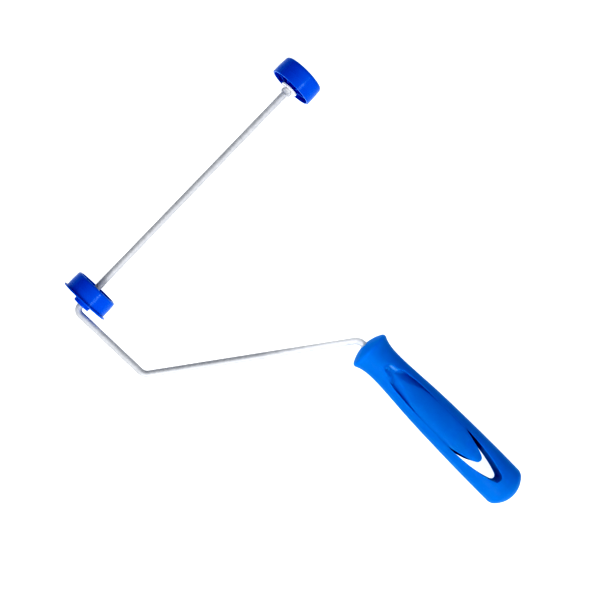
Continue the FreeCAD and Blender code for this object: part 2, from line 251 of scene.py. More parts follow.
def eased_outline(corners: Sequence[Corner], arc_steps: int = 6, hold: float = 0.12 * MM,
                  spacing: float = 1.2 * MM) -> Array:
    """Outline of a turned part, its corners rounded by tangent arcs.

    Each straight run has points near both its ends, so that shading stays flat on it, and
    more at the given spacing.

    Args:
        corners: The outline's corners in order; the first and the last are its ends.
        arc_steps: Divisions of each rounded corner.
        hold: Distance from a run's end to the point that holds its shading.
        spacing: Greatest distance between points of a run.

    Returns:
        Rows of (depth, radius, wear), where wear is 1 on a convex rounded corner.
    """
    places = np.array([(c.depth, c.radius) for c in corners])
    pieces = []
    start = places[0]
    for index in range(1, len(corners)):
        arc, sweep = places[index][None, :], 0.0
        if index < len(corners) - 1 and corners[index].ease > 0.0:
            arc, sweep = tangent_arc(start, places[index], places[index + 1],
                                     corners[index].ease, arc_steps)
        length = float(np.linalg.norm(arc[0] - start))
        held = min(hold, length / 4)
        count = max(2, int(math.ceil((length - 2 * held) / spacing)) + 1)
        along = np.concatenate(([0.0], np.linspace(held, length - held, count), [length]))
        run = start + (arc[0] - start) * (along / length)[:, None]
        pieces.append(np.column_stack([run, np.zeros(len(run))]))
        worn = np.sin(np.linspace(0.0, math.pi, len(arc))) * (sweep > 0)
        pieces.append(np.column_stack([arc, worn])[1:-1])
        start = arc[-1]
    return np.concatenate(pieces)


def resampled_outline(outline: Array, count: int) -> Array:
    """Outline with a set number of points, of which every corner keeps one.

    Args:
        outline: Rows of (depth, radius, wear).
        count: Number of rows wanted, not less than the outline has.

    Returns:
        The outline with its longest steps halved until it has that many rows.
    """
    result = outline
    while len(result) < count:
        steps = np.linalg.norm(np.diff(result[:, :2], axis=0), axis=1)
        longest = int(np.argmax(steps))
        middle = (result[longest] + result[longest + 1]) / 2
        result = np.insert(result, longest + 1, middle, axis=0)
    return result


# ---------------------------------------------------------------- meshes


class Surface:
    """Closed surface gathered from grids of points, which meet edge to edge."""

    def __init__(self, origin: Array | None = None, axes: Array | None = None) -> None:
        """Start with no grids.

        Args:
            origin: Where the grids' origin lies in the part's frame, if not at its own.
            axes: Directions of the grids' three values there, as rows.
        """
        self.origin = np.zeros(3) if origin is None else origin
        self.axes = np.eye(3) if axes is None else axes
        self._grids: list[tuple[Array, ...]] = []
        self._count = 0

    def add(self, grid: Array, wear: Array | float = 0.0, laid: Array | None = None,
            polish: Array | float = 0.0) -> Self:
        """Add a grid of points whose neighbours are joined by four-sided faces.

        Args:
            grid: Points, as rows by columns by 3.
            wear: Wear at each point, or one value for all.
            laid: Straightened place of each point, if the piece has one.
            polish: Polish at each point, or one value for all; -1 is matt.

        Returns:
            The surface itself.
        """
        shape = grid.shape[:2]
        number = self._count + np.arange(math.prod(shape)).reshape(shape)
        quads = np.stack([number[:-1, :-1], number[1:, :-1], number[1:, 1:], number[:-1, 1:]],
                         axis=-1)
        self._grids.append((
            grid.reshape(-1, 3), quads.reshape(-1, 4), (np.zeros(shape) + wear).ravel(),
            (np.zeros(shape) + polish).ravel(), (grid if laid is None else laid).reshape(-1, 3)))
        self._count += math.prod(shape)
        return self

    def add_mirrored(self, grid: Array, wear: Array | float = 0.0,
                     polish: Array | float = 0.0) -> None:
        """Add a grid and its mirror image across the plane where the first value is 0.

        Args:
            grid: Points, as rows by columns by 3.
            wear: Wear at each point, or one value for all.
            polish: Polish at each point, or one value for all.
        """
        wear, polish = (np.zeros(grid.shape[:2]) + value for value in (wear, polish))
        self.add(grid, wear, polish=polish)
        self.add(grid[:, ::-1] * np.array([-1.0, 1.0, 1.0]), wear[:, ::-1],
                 polish=polish[:, ::-1])

    def build(self, name: str, material: bpy.types.Material,
              crease: float = 38.0) -> bpy.types.Object:
        """Make the Blender object, with its seams welded and its faces turned outwards.

        Args:
            name: The piece's name.
            material: Its finish.
            crease: Degrees between faces above which an edge stays sharp.

        Returns:
            The object, at the origin and linked to the scene.
        """
        points, quads, wear, polish, laid = map(np.concatenate, zip(*self._grids))
        points = points @ self.axes + self.origin
        mesh = bpy.data.meshes.new(name)
        mesh.vertices.add(len(points))
        mesh.vertices.foreach_set("co", points.astype(np.float32).ravel())
        mesh.loops.add(quads.size)
        mesh.loops.foreach_set("vertex_index", quads.astype(np.int32).ravel())
        mesh.polygons.add(len(quads))
        mesh.polygons.foreach_set("loop_start", np.arange(0, quads.size, 4, dtype=np.int32))
        mesh.update(calc_edges=True)
        for title, kind, key, values in ((WEAR, "FLOAT", "value", wear),
                                         (POLISH, "FLOAT", "value", polish),
                                         (STRAIGHTENED, "FLOAT_VECTOR", "vector", laid)):
            held = mesh.attributes.new(title, kind, "POINT")
            held.data.foreach_set(key, values.astype(np.float32).ravel())
        welded = bmesh.new()
        welded.from_mesh(mesh)
        bmesh.ops.remove_doubles(welded, verts=welded.verts, dist=WELD)
        bmesh.ops.recalc_face_normals(welded, faces=welded.faces)
        welded.to_mesh(mesh)
        welded.free()
        mesh.shade_smooth()
        mesh.set_sharp_from_angle(angle=math.radians(crease))
        mesh.materials.append(material)
        return in_scene(name, mesh)


def in_scene(name: str, data: bpy.types.ID) -> bpy.types.Object:
    """New object in the scene.

    Args:
        name: Its name.
        data: Its mesh, light or camera.

    Returns:
        The object, at the origin.
    """
    item = bpy.data.objects.new(name, data)
    bpy.context.scene.collection.objects.link(item)
    return item


def turned(depth: Array, radius: Array, angle: Array, start: float, sense: Sense) -> Array:
    """Points of a part turned about the X axis.

    A point lies at start plus or minus its depth along X, and at its radius from the axis,
    at the given angle from +Y towards +Z.

    Args:
        depth: Depth of each point, as rows by columns.
        radius: Its distance from the axis.
        angle: Its angle about the axis.
        start: Where depth 0 lies on the X axis.
        sense: Way in which depth grows.

    Returns:
        The points, as rows by columns by 3.
    """
    along, out, turn = np.broadcast_arrays(depth, radius, angle)
    return np.stack([start + sense.value * along, out * np.cos(turn), out * np.sin(turn)], axis=-1)


def closed_round(grid: Array) -> Array:
    """Grid with its first column repeated after the last."""
    return np.concatenate([grid, grid[:, :1]], axis=1)


class Sectors:
    """Columns round an axis that lie by turns across a narrow feature and the gap after it."""

    def __init__(self, count: int, across_feature: Array, across_gap: Array) -> None:
        """Number the columns.

        Args:
            count: How many features there are.
            across_feature: Places of a feature's columns, from -1 at one side to 1.
            across_gap: The same for a gap.
        """
        self.half_pitch = math.pi / count
        self.place = np.tile(np.r_[across_feature, across_gap], count)
        self.number = np.repeat(np.arange(count), len(self.place) // count)
        self.on_feature = np.tile(
            np.r_[np.ones(len(across_feature)), np.zeros(len(across_gap))], count) > 0

    def choose(self, feature: Array, gap: Array) -> Array:
        """Values by row and column: a feature's on its columns, and a gap's on the others."""
        return np.where(self.on_feature[None, :], feature, gap)

    def angles(self, half_width: Array) -> Array:
        """Angle of each column: features are two half pitches apart, each gap between two.

        Args:
            half_width: Half the angle that a feature takes up at each point.

        Returns:
            The angle of each point.
        """
        return self.choose(
            2 * self.number * self.half_pitch + self.place * half_width,
            (2 * self.number + 1) * self.half_pitch
            + self.place * (self.half_pitch - half_width))


# ---------------------------------------------------------------- shader nodes


class Sheet:
    """Writes one node tree: adds nodes, sets their sockets and links them."""

    def __init__(self, tree: bpy.types.NodeTree) -> None:
        """Take the tree to write."""
        self.tree = tree

    def feed(self, node: bpy.types.Node, inputs: dict[str | int, Any]) -> None:
        """Set a node's input sockets.

        Args:
            node: The node.
            inputs: What each socket holds: a number, a colour, or a socket to link from.
        """
        for key, value in inputs.items():
            if isinstance(value, Socket):
                self.tree.links.new(value, node.inputs[key])
            else:
                is_colour = node.inputs[key].type == "RGBA"
                node.inputs[key].default_value = (*value, 1.0) if is_colour else value

    def add(self, kind: str, inputs: dict[str | int, Any] | None = None,
            **settings: Any) -> bpy.types.Node:
        """Add a node.

        Args:
            kind: The node's type name.
            inputs: What its input sockets hold.
            **settings: The node's own properties.

        Returns:
            The new node.
        """
        node = self.tree.nodes.new(kind)
        for key, value in settings.items():
            setattr(node, key, value)
        self.feed(node, inputs or {})
        return node

    def math(self, operation: str, *values: Any, clamp: bool = False) -> Socket:
        """Output of a Math node on one or two values."""
        return self.add("ShaderNodeMath", dict(enumerate(values)), operation=operation,
                        use_clamp=clamp).outputs[0]

    def times(self, first: Any, second: Any, clamp: bool = False) -> Socket:
        """Product of two values."""
        return self.math("MULTIPLY", first, second, clamp=clamp)

    def plus(self, first: Any, second: Any, clamp: bool = False) -> Socket:
        """Sum of two values."""
        return self.math("ADD", first, second, clamp=clamp)

    def about_middle(self, value: Any) -> Socket:
        """Value less a half, so that noise runs from about -0.5 to 0.5."""
        return self.math("SUBTRACT", value, 0.5)

    def ramp(self, value: Socket, low: float, high: float, to_low: float = 0.0,
             to_high: float = 1.0) -> Socket:
        """Output of a smooth Map Range from (low, high) to (to_low, to_high)."""
        return self.add("ShaderNodeMapRange", {
            "Value": value, "From Min": low, "From Max": high, "To Min": to_low,
            "To Max": to_high}, interpolation_type="SMOOTHSTEP").outputs["Result"]

    def noise(self, place: Socket, scale: Any, detail: float = 2.0, roughness: float = 0.5,
              distortion: float = 0.0) -> Socket:
        """Output of a Noise Texture, from 0 to 1, with its scale in waves per metre."""
        return self.add("ShaderNodeTexNoise", {
            "Vector": place, "Scale": scale, "Detail": detail, "Roughness": roughness,
            "Distortion": distortion}).outputs[0]

    def mix(self, share: Any, first: Any, second: Any) -> Socket:
        """Output of a colour Mix node: the first colour where the share is 0."""
        return self.add("ShaderNodeMix", {0: share, 6: first, 7: second},
                        data_type="RGBA").outputs[2]

    def stretched(self, place: Socket, scale: Triple, turn: Triple = (0.0, 0.0, 0.0)) -> Socket:
        """Place turned and then scaled by a Mapping node."""
        return self.add("ShaderNodeMapping", {"Vector": place, "Rotation": turn, "Scale": scale},
                        vector_type="POINT").outputs[0]

    def attribute(self, name: str, output: str = "Fac") -> Socket:
        """Output of an Attribute node."""
        return self.add("ShaderNodeAttribute", attribute_name=name).outputs[output]

    def place(self) -> Socket:
        """Place in the object's own frame."""
        return self.add("ShaderNodeTexCoord").outputs["Object"]

    def bump(self, height: Socket, relief: float) -> Socket:
        """Normal bent by a height map, whose step from 0 to 1 is as high as the relief."""
        return self.add("ShaderNodeBump", {"Height": height, "Distance": relief,
                                           "Strength": 1.0}).outputs["Normal"]


def moulded_skin(sheet: Sheet, given: Sockets) -> dict[str, Socket]:
    """Fine grain, slow waves of shrinkage and clouds of pigment in a moulded skin.

    Args:
        sheet: The group's sheet.
        given: Its inputs.

    Returns:
        Its outputs.
    """
    place = given["Place"]
    fine = sheet.noise(place, given["Grain per metre"], detail=3.0, roughness=0.6)
    waves = sheet.noise(place, scale=90.0, detail=1.0)
    clouds = sheet.noise(sheet.stretched(place, (1.0, 0.35, 1.0)), scale=55.0, detail=3.0,
                         roughness=0.55, distortion=0.6)
    mottle = sheet.noise(place, scale=420.0, detail=4.0, roughness=0.65)
    return {"Height": sheet.plus(sheet.times(fine, given["Grain"]),
                                 sheet.times(waves, given["Waves"])),
            "Gloss change": sheet.ramp(mottle, 0.3, 0.7, -1.0, 1.0),
            "Pigment": sheet.ramp(clouds, 0.3, 0.7)}


def handling_marks(sheet: Sheet, given: Sockets) -> dict[str, Socket]:
    """Hair scratches in three directions, scuffed patches and specks of dust.

    A scratch lies where noise, drawn out along one direction, crosses its middle value.

    Args:
        sheet: The group's sheet.
        given: Its inputs.

    Returns:
        Its outputs.
    """
    place = given["Place"]
    scratches = 0.0
    for turn in ((0.3, 0.2, 0.9), (1.2, 0.5, -0.4), (-0.6, 1.1, 2.0)):
        run = sheet.noise(sheet.stretched(place, (2600.0, 45.0, 2600.0), turn), scale=1.0,
                          detail=1.0)
        line = sheet.ramp(sheet.math("ABSOLUTE", sheet.about_middle(run)), 0.0, 0.012, 1.0, 0.0)
        scratches = sheet.math("MAXIMUM", scratches, line) if scratches else line
    patches = sheet.ramp(sheet.noise(place, scale=130.0, detail=3.0, roughness=0.6), 0.5, 0.68)
    blurred = sheet.noise(sheet.stretched(place, (1.0, 0.5, 1.0)), scale=75.0, detail=5.0,
                          roughness=0.7)
    speck = sheet.add("ShaderNodeTexVoronoi", {"Vector": place, "Scale": 700.0},
                      feature="F1").outputs["Distance"]
    dusty = sheet.ramp(sheet.noise(place, scale=260.0), 0.6, 0.66)
    marks = {"Scratches": sheet.times(scratches, patches),
             "Scuffs": sheet.ramp(blurred, 0.52, 0.72),
             "Dust": sheet.times(sheet.ramp(speck, 0.05, 0.14, 1.0, 0.0), dusty)}
    return {name: sheet.times(mark, given["Amount"], clamp=True)
            for name, mark in marks.items()}


def edge_wear(sheet: Sheet, given: Sockets) -> dict[str, Socket]:
    """Worn share of an edge, broken up by noise.

    Args:
        sheet: The group's sheet.
        given: Its inputs.

    Returns:
        Its outputs.
    """
    ragged = sheet.about_middle(sheet.noise(given["Place"], scale=600.0, detail=4.0,
                                            roughness=0.65))
    worn = sheet.ramp(sheet.plus(given["Edge"], sheet.times(ragged, 0.9)), 0.35, 1.1)
    return {"Worn": sheet.times(worn, given["Amount"], clamp=True)}


class Effect(Enum):
    """Effects on a surface that several finishes share."""

    MOULDED_SKIN = "moulded_skin"
    HANDLING_MARKS = "handling_marks"
    EDGE_WEAR = "edge_wear"


class Effects:
    """The shared node groups, each built once."""

    def __init__(self) -> None:
        """Build the three groups."""
        self.trees: dict[Effect, bpy.types.NodeTree] = {}
        self._group(Effect.MOULDED_SKIN, moulded_skin,
                    {"Grain per metre": 5000.0, "Grain": 0.3, "Waves": 1.0})
        self._group(Effect.HANDLING_MARKS, handling_marks, {"Amount": 1.0})
        self._group(Effect.EDGE_WEAR, edge_wear, {"Edge": 0.0, "Amount": 1.0})

    def _group(self, effect: Effect, write: Callable[[Sheet, Sockets], dict[str, Socket]],
               numbers: dict[str, float]) -> None:
        """Make one node group, with numbers for outputs.

        Args:
            effect: The effect that it holds.
            write: Function that writes its nodes.
            numbers: Default of each of its inputs beside the place.
        """
        tree = bpy.data.node_groups.new(effect.value, "ShaderNodeTree")
        tree.interface.new_socket("Place", in_out="INPUT", socket_type="NodeSocketVector")
        for name, default in numbers.items():
            tree.interface.new_socket(
                name, in_out="INPUT", socket_type="NodeSocketFloat").default_value = default
        sheet = Sheet(tree)
        results = write(sheet, sheet.add("NodeGroupInput").outputs)
        for name in results:
            tree.interface.new_socket(name, in_out="OUTPUT", socket_type="NodeSocketFloat")
        sheet.add("NodeGroupOutput", results)
        self.trees[effect] = tree

    def on(self, sheet: Sheet, effect: Effect, **inputs: Any) -> Sockets:
        """Outputs of one effect in a material, with the values of its inputs there."""
        return sheet.add("ShaderNodeGroup", inputs, node_tree=self.trees[effect]).outputs


# ---------------------------------------------------------------- finishes


def blank_material(name: str) -> tuple[Sheet, bpy.types.Node]:
    """New node material with nothing but a Principled shader on its output.

    Args:
        name: The material's name.

    Returns:
        The material's sheet and its Principled node.
    """
    material = bpy.data.materials.new(name)
    material.use_nodes = True
    material.node_tree.nodes.clear()
    sheet = Sheet(material.node_tree)
    shader = sheet.add("ShaderNodeBsdfPrincipled")
    sheet.add("ShaderNodeOutputMaterial", {"Surface": shader.outputs["BSDF"]})
    return sheet, shader


@dataclass(frozen=True)
class MouldedPlastic:
    """Injection-moulded plastic with a faint grain and the marks of handling."""

    name: str
    base: Triple                 # linear colour of the body
    deep: Triple                 # where the pigment lies thicker
    worn: Triple                 # rubbed edges and scratches
    gloss: float                 # roughness of the clean surface
    reflectance: float = 0.5     # specular level
    refraction: float = 1.49
    grain: float = 0.3
    waves: float = 1.0
    relief: float = 0.02 * MM    # height of the bump
    marks: float = 1.0
    paler: Triple = (0.35, 0.5, 0.3)       # share of the worn colour: scratch, edge, dust
    rougher: Triple = (0.035, 0.12, 0.1)   # added roughness: mottle, scuff, edge
    scratch_depth: float = 0.6   # against the relief
    glow_through: float = 0.0    # subsurface weight
    glow_reach: float = 2.0 * MM
    glow_radii: Triple = (0.4, 0.7, 1.0)
    polished: float = 0.2        # roughness where the mould was polished
    matt: float = 0.7            # roughness of the walls inside a slot

    def material(self, effects: Effects) -> bpy.types.Material:
        """Make the material.

        Args:
            effects: The shared node groups.

        Returns:
            The finished material.
        """
        sheet, shader = blank_material(self.name)
        place = sheet.place()
        skin = effects.on(sheet, Effect.MOULDED_SKIN, Place=place, Grain=self.grain,
                          Waves=self.waves)
        marks = effects.on(sheet, Effect.HANDLING_MARKS, Place=place, Amount=self.marks)
        worn = effects.on(sheet, Effect.EDGE_WEAR, Place=place,
                          Edge=sheet.attribute(WEAR))["Worn"]
        pale = [sheet.times(mark, share) for mark, share in
                zip((marks["Scratches"], worn, marks["Dust"]), self.paler)]
        pale = sheet.math("MAXIMUM", sheet.math("MAXIMUM", pale[0], pale[1]), pale[2])
        body = sheet.mix(skin["Pigment"], self.deep, self.base)
        polish = sheet.attribute(POLISH)
        rough = sheet.plus(sheet.ramp(polish, 0.0, 1.0, self.gloss, self.polished),
                           sheet.ramp(polish, -1.0, 0.0, self.matt - self.gloss, 0.0))
        mottle, scuff, edge = self.rougher
        rough = sheet.plus(rough, sheet.times(skin["Gloss change"], mottle))
        rough = sheet.plus(rough, sheet.times(marks["Scuffs"], scuff))
        rough = sheet.plus(rough, sheet.times(worn, edge), clamp=True)
        height = sheet.math("SUBTRACT", skin["Height"],
                            sheet.times(marks["Scratches"], self.scratch_depth))
        sheet.feed(shader, {
            "Base Color": sheet.mix(pale, body, self.worn), "Roughness": rough,
            "Normal": sheet.bump(height, self.relief), "IOR": self.refraction,
            "Specular IOR Level": self.reflectance, "Subsurface Weight": self.glow_through,
            "Subsurface Scale": self.glow_reach, "Subsurface Radius": self.glow_radii})
        return bpy.data.materials[self.name]


@dataclass(frozen=True)
class PlatedSteel:
    """Bright zinc on drawn or pressed steel: fine lines along the piece and a cloudy plate."""

    name: str
    bright: Triple
    dull: Triple
    stain: Triple                # darker spots where the plate is thin
    gloss: float                 # roughness of the clean plate
    metal: float = 1.0
    lines: Triple = (9000.0, 9000.0, 40.0)    # draw lines per metre, the last along the piece
    streaks: Triple = (900.0, 900.0, 18.0)    # and broad dull streaks
    shares: Triple = (0.5, 0.45, 0.6)         # of dull streaks, stains and bright edges
    rougher: Triple = (0.3, 0.1, 0.15)        # added roughness: cloud, scuff, stain
    cloud_height: float = 0.8    # against the draw lines
    relief: float = 0.008 * MM

    def material(self, effects: Effects) -> bpy.types.Material:
        """Make the material.

        Args:
            effects: The shared node groups.

        Returns:
            The finished material.
        """
        sheet, shader = blank_material(self.name)
        place = sheet.place()
        laid = sheet.attribute(STRAIGHTENED, "Vector")
        lines = sheet.noise(sheet.stretched(laid, self.lines), scale=1.0, detail=4.0,
                            roughness=0.7)
        streaks = sheet.noise(sheet.stretched(laid, self.streaks), scale=1.0, detail=3.0,
                              roughness=0.6)
        cloud = sheet.noise(place, scale=260.0, detail=5.0, roughness=0.7)
        spots = sheet.ramp(sheet.noise(place, scale=1100.0, detail=4.0, roughness=0.7),
                           0.6, 0.75)
        scuffs = effects.on(sheet, Effect.HANDLING_MARKS, Place=place)["Scuffs"]
        worn = effects.on(sheet, Effect.EDGE_WEAR, Place=place,
                          Edge=sheet.attribute(WEAR))["Worn"]
        plate = sheet.mix(sheet.ramp(cloud, 0.3, 0.7), self.dull, self.bright)
        for mask, share, colour in zip((sheet.ramp(streaks, 0.45, 0.75), spots, worn),
                                       self.shares, (self.dull, self.stain, self.bright)):
            plate = sheet.mix(sheet.times(mask, share), plate, colour)
        clouded, scuffed, stained = self.rougher
        rough = sheet.plus(self.gloss, sheet.times(sheet.about_middle(cloud), clouded))
        rough = sheet.plus(rough, sheet.times(scuffs, scuffed))
        rough = sheet.plus(rough, sheet.times(spots, stained), clamp=True)
        height = sheet.plus(lines, sheet.times(cloud, self.cloud_height))
        sheet.feed(shader, {"Base Color": plate, "Roughness": rough, "Metallic": self.metal,
                            "Normal": sheet.bump(height, self.relief)})
        return bpy.data.materials[self.name]


HANDLE_BLUE = MouldedPlastic(
    name="blue_handle_plastic", base=(0.012, 0.166, 0.462), deep=(0.010, 0.154, 0.434),
    worn=(0.05, 0.22, 0.56), gloss=0.5, reflectance=0.24, polished=0.28, grain=0.25,
    glow_through=0.75, glow_reach=8.0 * MM)
CAP_BLUE = MouldedPlastic(
    name="blue_cap_plastic", base=(0.008, 0.122, 0.550), deep=(0.006, 0.108, 0.515),
    worn=(0.05, 0.19, 0.60), gloss=0.25, reflectance=0.32, grain=0.2, waves=0.6,
    relief=0.015 * MM)
BUSH_WHITE = MouldedPlastic(
    name="white_bush_nylon", base=(0.66, 0.67, 0.71), deep=(0.60, 0.61, 0.66),
    worn=(0.74, 0.74, 0.77), gloss=0.38, waves=0.5, relief=0.01 * MM, marks=0.5,
    glow_through=0.15)
WIRE_ZINC = PlatedSteel(
    name="zinc_drawn_wire", bright=(0.58, 0.59, 0.61), dull=(0.49, 0.50, 0.52),
    stain=(0.36, 0.36, 0.37), gloss=0.66, metal=0.5)
WASHER_ZINC = PlatedSteel(
    name="zinc_spring_washer", bright=(0.70, 0.71, 0.73), dull=(0.52, 0.53, 0.56),
    stain=(0.2, 0.2, 0.2), gloss=0.38, lines=(1500.0, 1500.0, 1500.0))


# ---------------------------------------------------------------- wire


@dataclass
class Wire:
    """The bent wire, with ears swaged beside each cap and flats on the tang."""

    material: bpy.types.Material
    radius: float = 2.75 * MM
    free_end: float = 251.4 * MM
    side_arm_x: float = -10.6 * MM
    side_arm_drop: float = 73.9 * MM
    handle_reach: float = 127.7 * MM
    handle_drop: float = 180.0 * MM
    handle_lean: float = math.radians(1.5)
    bend_radii: Triple = (5.3 * MM, 8.5 * MM, 9.5 * MM)
    tang_length: float = 92.0 * MM
    end_bevel: float = 0.6 * MM
    bevel_rows: tuple[float, ...] = (0.0, 0.15, 0.4, 0.7, 1.0)
    ear_starts: tuple[float, float] = (8.32 * MM, 227.98 * MM)
    ear_length: float = 5.0 * MM
    ear_half_width: float = 4.3 * MM
    ear_half_thickness: float = 1.8 * MM
    ear_run: float = 1.3 * MM    # length over which the round wire becomes the ear
    flat_length: float = 14.0 * MM
    flat_inset: float = 9.0 * MM
    flat_half_width: float = 4.5 * MM
    flat_half_thickness: float = 1.9 * MM
    squareness: float = 0.9      # what a flat adds to the section's exponent
    spacing: float = 0.5 * MM
    columns: int = 32
    bend_steps: int = 199
    end_wear: float = 0.8
    wear_power: int = 6          # higher for wear nearer an ear's edges

    @property
    def handle_way(self) -> Array:
        """Direction of the tang in the plane Z = 0."""
        return np.array([-math.sin(self.handle_lean), -math.cos(self.handle_lean)])

    @property
    def handle_corner(self) -> Array:
        """Corner from which the tang runs."""
        return np.array([self.handle_reach, -self.handle_drop])

    def route(self) -> Array:
        """Centre line: straight runs joined by circle arcs tangent to both.

        Returns:
            Its points in the plane Z = 0, from the free end to the tang's end.
        """
        corners = [np.array([self.free_end, 0.0]), np.array([self.side_arm_x, 0.0]),
                   np.array([self.side_arm_x, -self.side_arm_drop]), self.handle_corner,
                   self.handle_corner + self.handle_way * self.tang_length]
        pieces = [corners[0][None, :]]
        for index, radius in enumerate(self.bend_radii, start=1):
            pieces.append(tangent_arc(*corners[index - 1:index + 2], radius,
                                      self.bend_steps)[0])
        return np.concatenate([*pieces, corners[-1][None, :]])

    def squeeze(self, along: Array, start: float, length: float) -> Array:
        """How far the wire is flattened: 0 outside a swaged stretch, 1 on its flat."""
        return (smoothstep(start, start + self.ear_run, along)
                - smoothstep(start + length - self.ear_run, start + length, along))

    def build(self) -> bpy.types.Object:
        """Sweep the section along the route.

        The section is a superellipse: the sine and cosine of the angle, each raised to
        2 / exponent, times its half width in the plane of the bends and its half thickness
        square to it. On plain wire it is a circle.

        Returns:
            The wire's object.
        """
        route = self.route()
        total = float(distances(route)[-1])
        bevel = np.array(self.bevel_rows) * self.end_bevel
        body = np.linspace(2 * self.end_bevel, total - 2 * self.end_bevel,
                           int(total / self.spacing))
        along = np.concatenate([[0.0], bevel, body, (total - bevel)[::-1], [total]])
        drop = np.maximum(self.end_bevel - np.minimum(along, total - along), 0.0)
        ear = sum(self.squeeze(along, self.free_end - start - self.ear_length, self.ear_length)
                  for start in self.ear_starts)
        flat = self.squeeze(along, total - self.flat_inset - self.flat_length, self.flat_length)
        angle = np.linspace(0.0, FULL_TURN, self.columns + 1)[None, :]
        power = 2.0 / (2.0 + self.squareness * (ear + flat))[:, None]

        def reach(share: Array, on_ear: float, on_flat: float) -> Array:
            """Section's reach one way: half its size there times a power of the share.

            Args:
                share: Cosine or sine of the angle at each column.
                on_ear: Half the ear's size that way.
                on_flat: Half the flat's size that way.

            Returns:
                The reach at each row and column.
            """
            half = (self.radius - drop + ear * (on_ear - self.radius)
                    + flat * (on_flat - self.radius))
            half[[0, -1]] = 0.0
            return half[:, None] * (np.sign(share) * np.abs(share) ** power)

        out = reach(np.cos(angle), self.ear_half_width, self.flat_half_width)
        lift = reach(np.sin(angle), self.ear_half_thickness, self.flat_half_thickness)
        line = points_at(route, along)
        way = (points_at(route, np.minimum(along + TINY, total))
               - points_at(route, np.maximum(along - TINY, 0.0)))
        way /= np.linalg.norm(way, axis=1, keepdims=True)
        grid = np.stack([line[:, :1] - way[:, 1:] * out, line[:, 1:] + way[:, :1] * out, lift],
                        axis=-1)
        laid = np.stack([out, lift, np.broadcast_to(along[:, None], out.shape)], axis=-1)
        wear = np.clip(ear + flat, 0.0, 1.0)[:, None] * np.abs(np.cos(angle)) ** self.wear_power
        wear = np.maximum(wear, (drop > 0.3 * self.end_bevel)[:, None] * self.end_wear)
        return Surface().add(grid, wear, laid).build("bent_wire", self.material)


# ---------------------------------------------------------------- bushes, caps and washer


@dataclass
class Bush:
    """Flanged nylon bush, pressed into a cap."""

    name: str
    node: str
    sense: Sense                 # way from the flange to the barrel
    material: bpy.types.Material
    bore: float = 2.8 * MM
    barrel_radius: float = 4.3 * MM
    length: float = 11.9 * MM
    flange_radius: float = 7.65 * MM
    flange_thickness: float = 1.5 * MM
    flange_ease: float = 0.35 * MM
    edge_ease: float = 0.2 * MM
    columns: int = 96

    def build(self) -> bpy.types.Object:
        """Turn the bush's outline about the roller axis.

        Returns:
            The bush's object.
        """
        low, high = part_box(self.node)
        start = low.x if self.sense is Sense.TO_FREE_END else high.x
        on_face = Corner(0.0, (self.bore + self.flange_radius) / 2)
        outline = eased_outline([
            on_face, Corner(0.0, self.flange_radius, self.flange_ease),
            Corner(self.flange_thickness, self.flange_radius, self.edge_ease),
            Corner(self.flange_thickness, self.barrel_radius),
            Corner(self.length, self.barrel_radius, self.edge_ease),
            Corner(self.length, self.bore, self.edge_ease),
            Corner(0.0, self.bore, self.edge_ease), on_face])
        angle = np.linspace(0.0, FULL_TURN, self.columns + 1)[None, :]
        points = turned(outline[:, :1], outline[:, 1:2], angle, start, self.sense)
        return Surface().add(points, outline[:, 2:]).build(self.name, self.material)


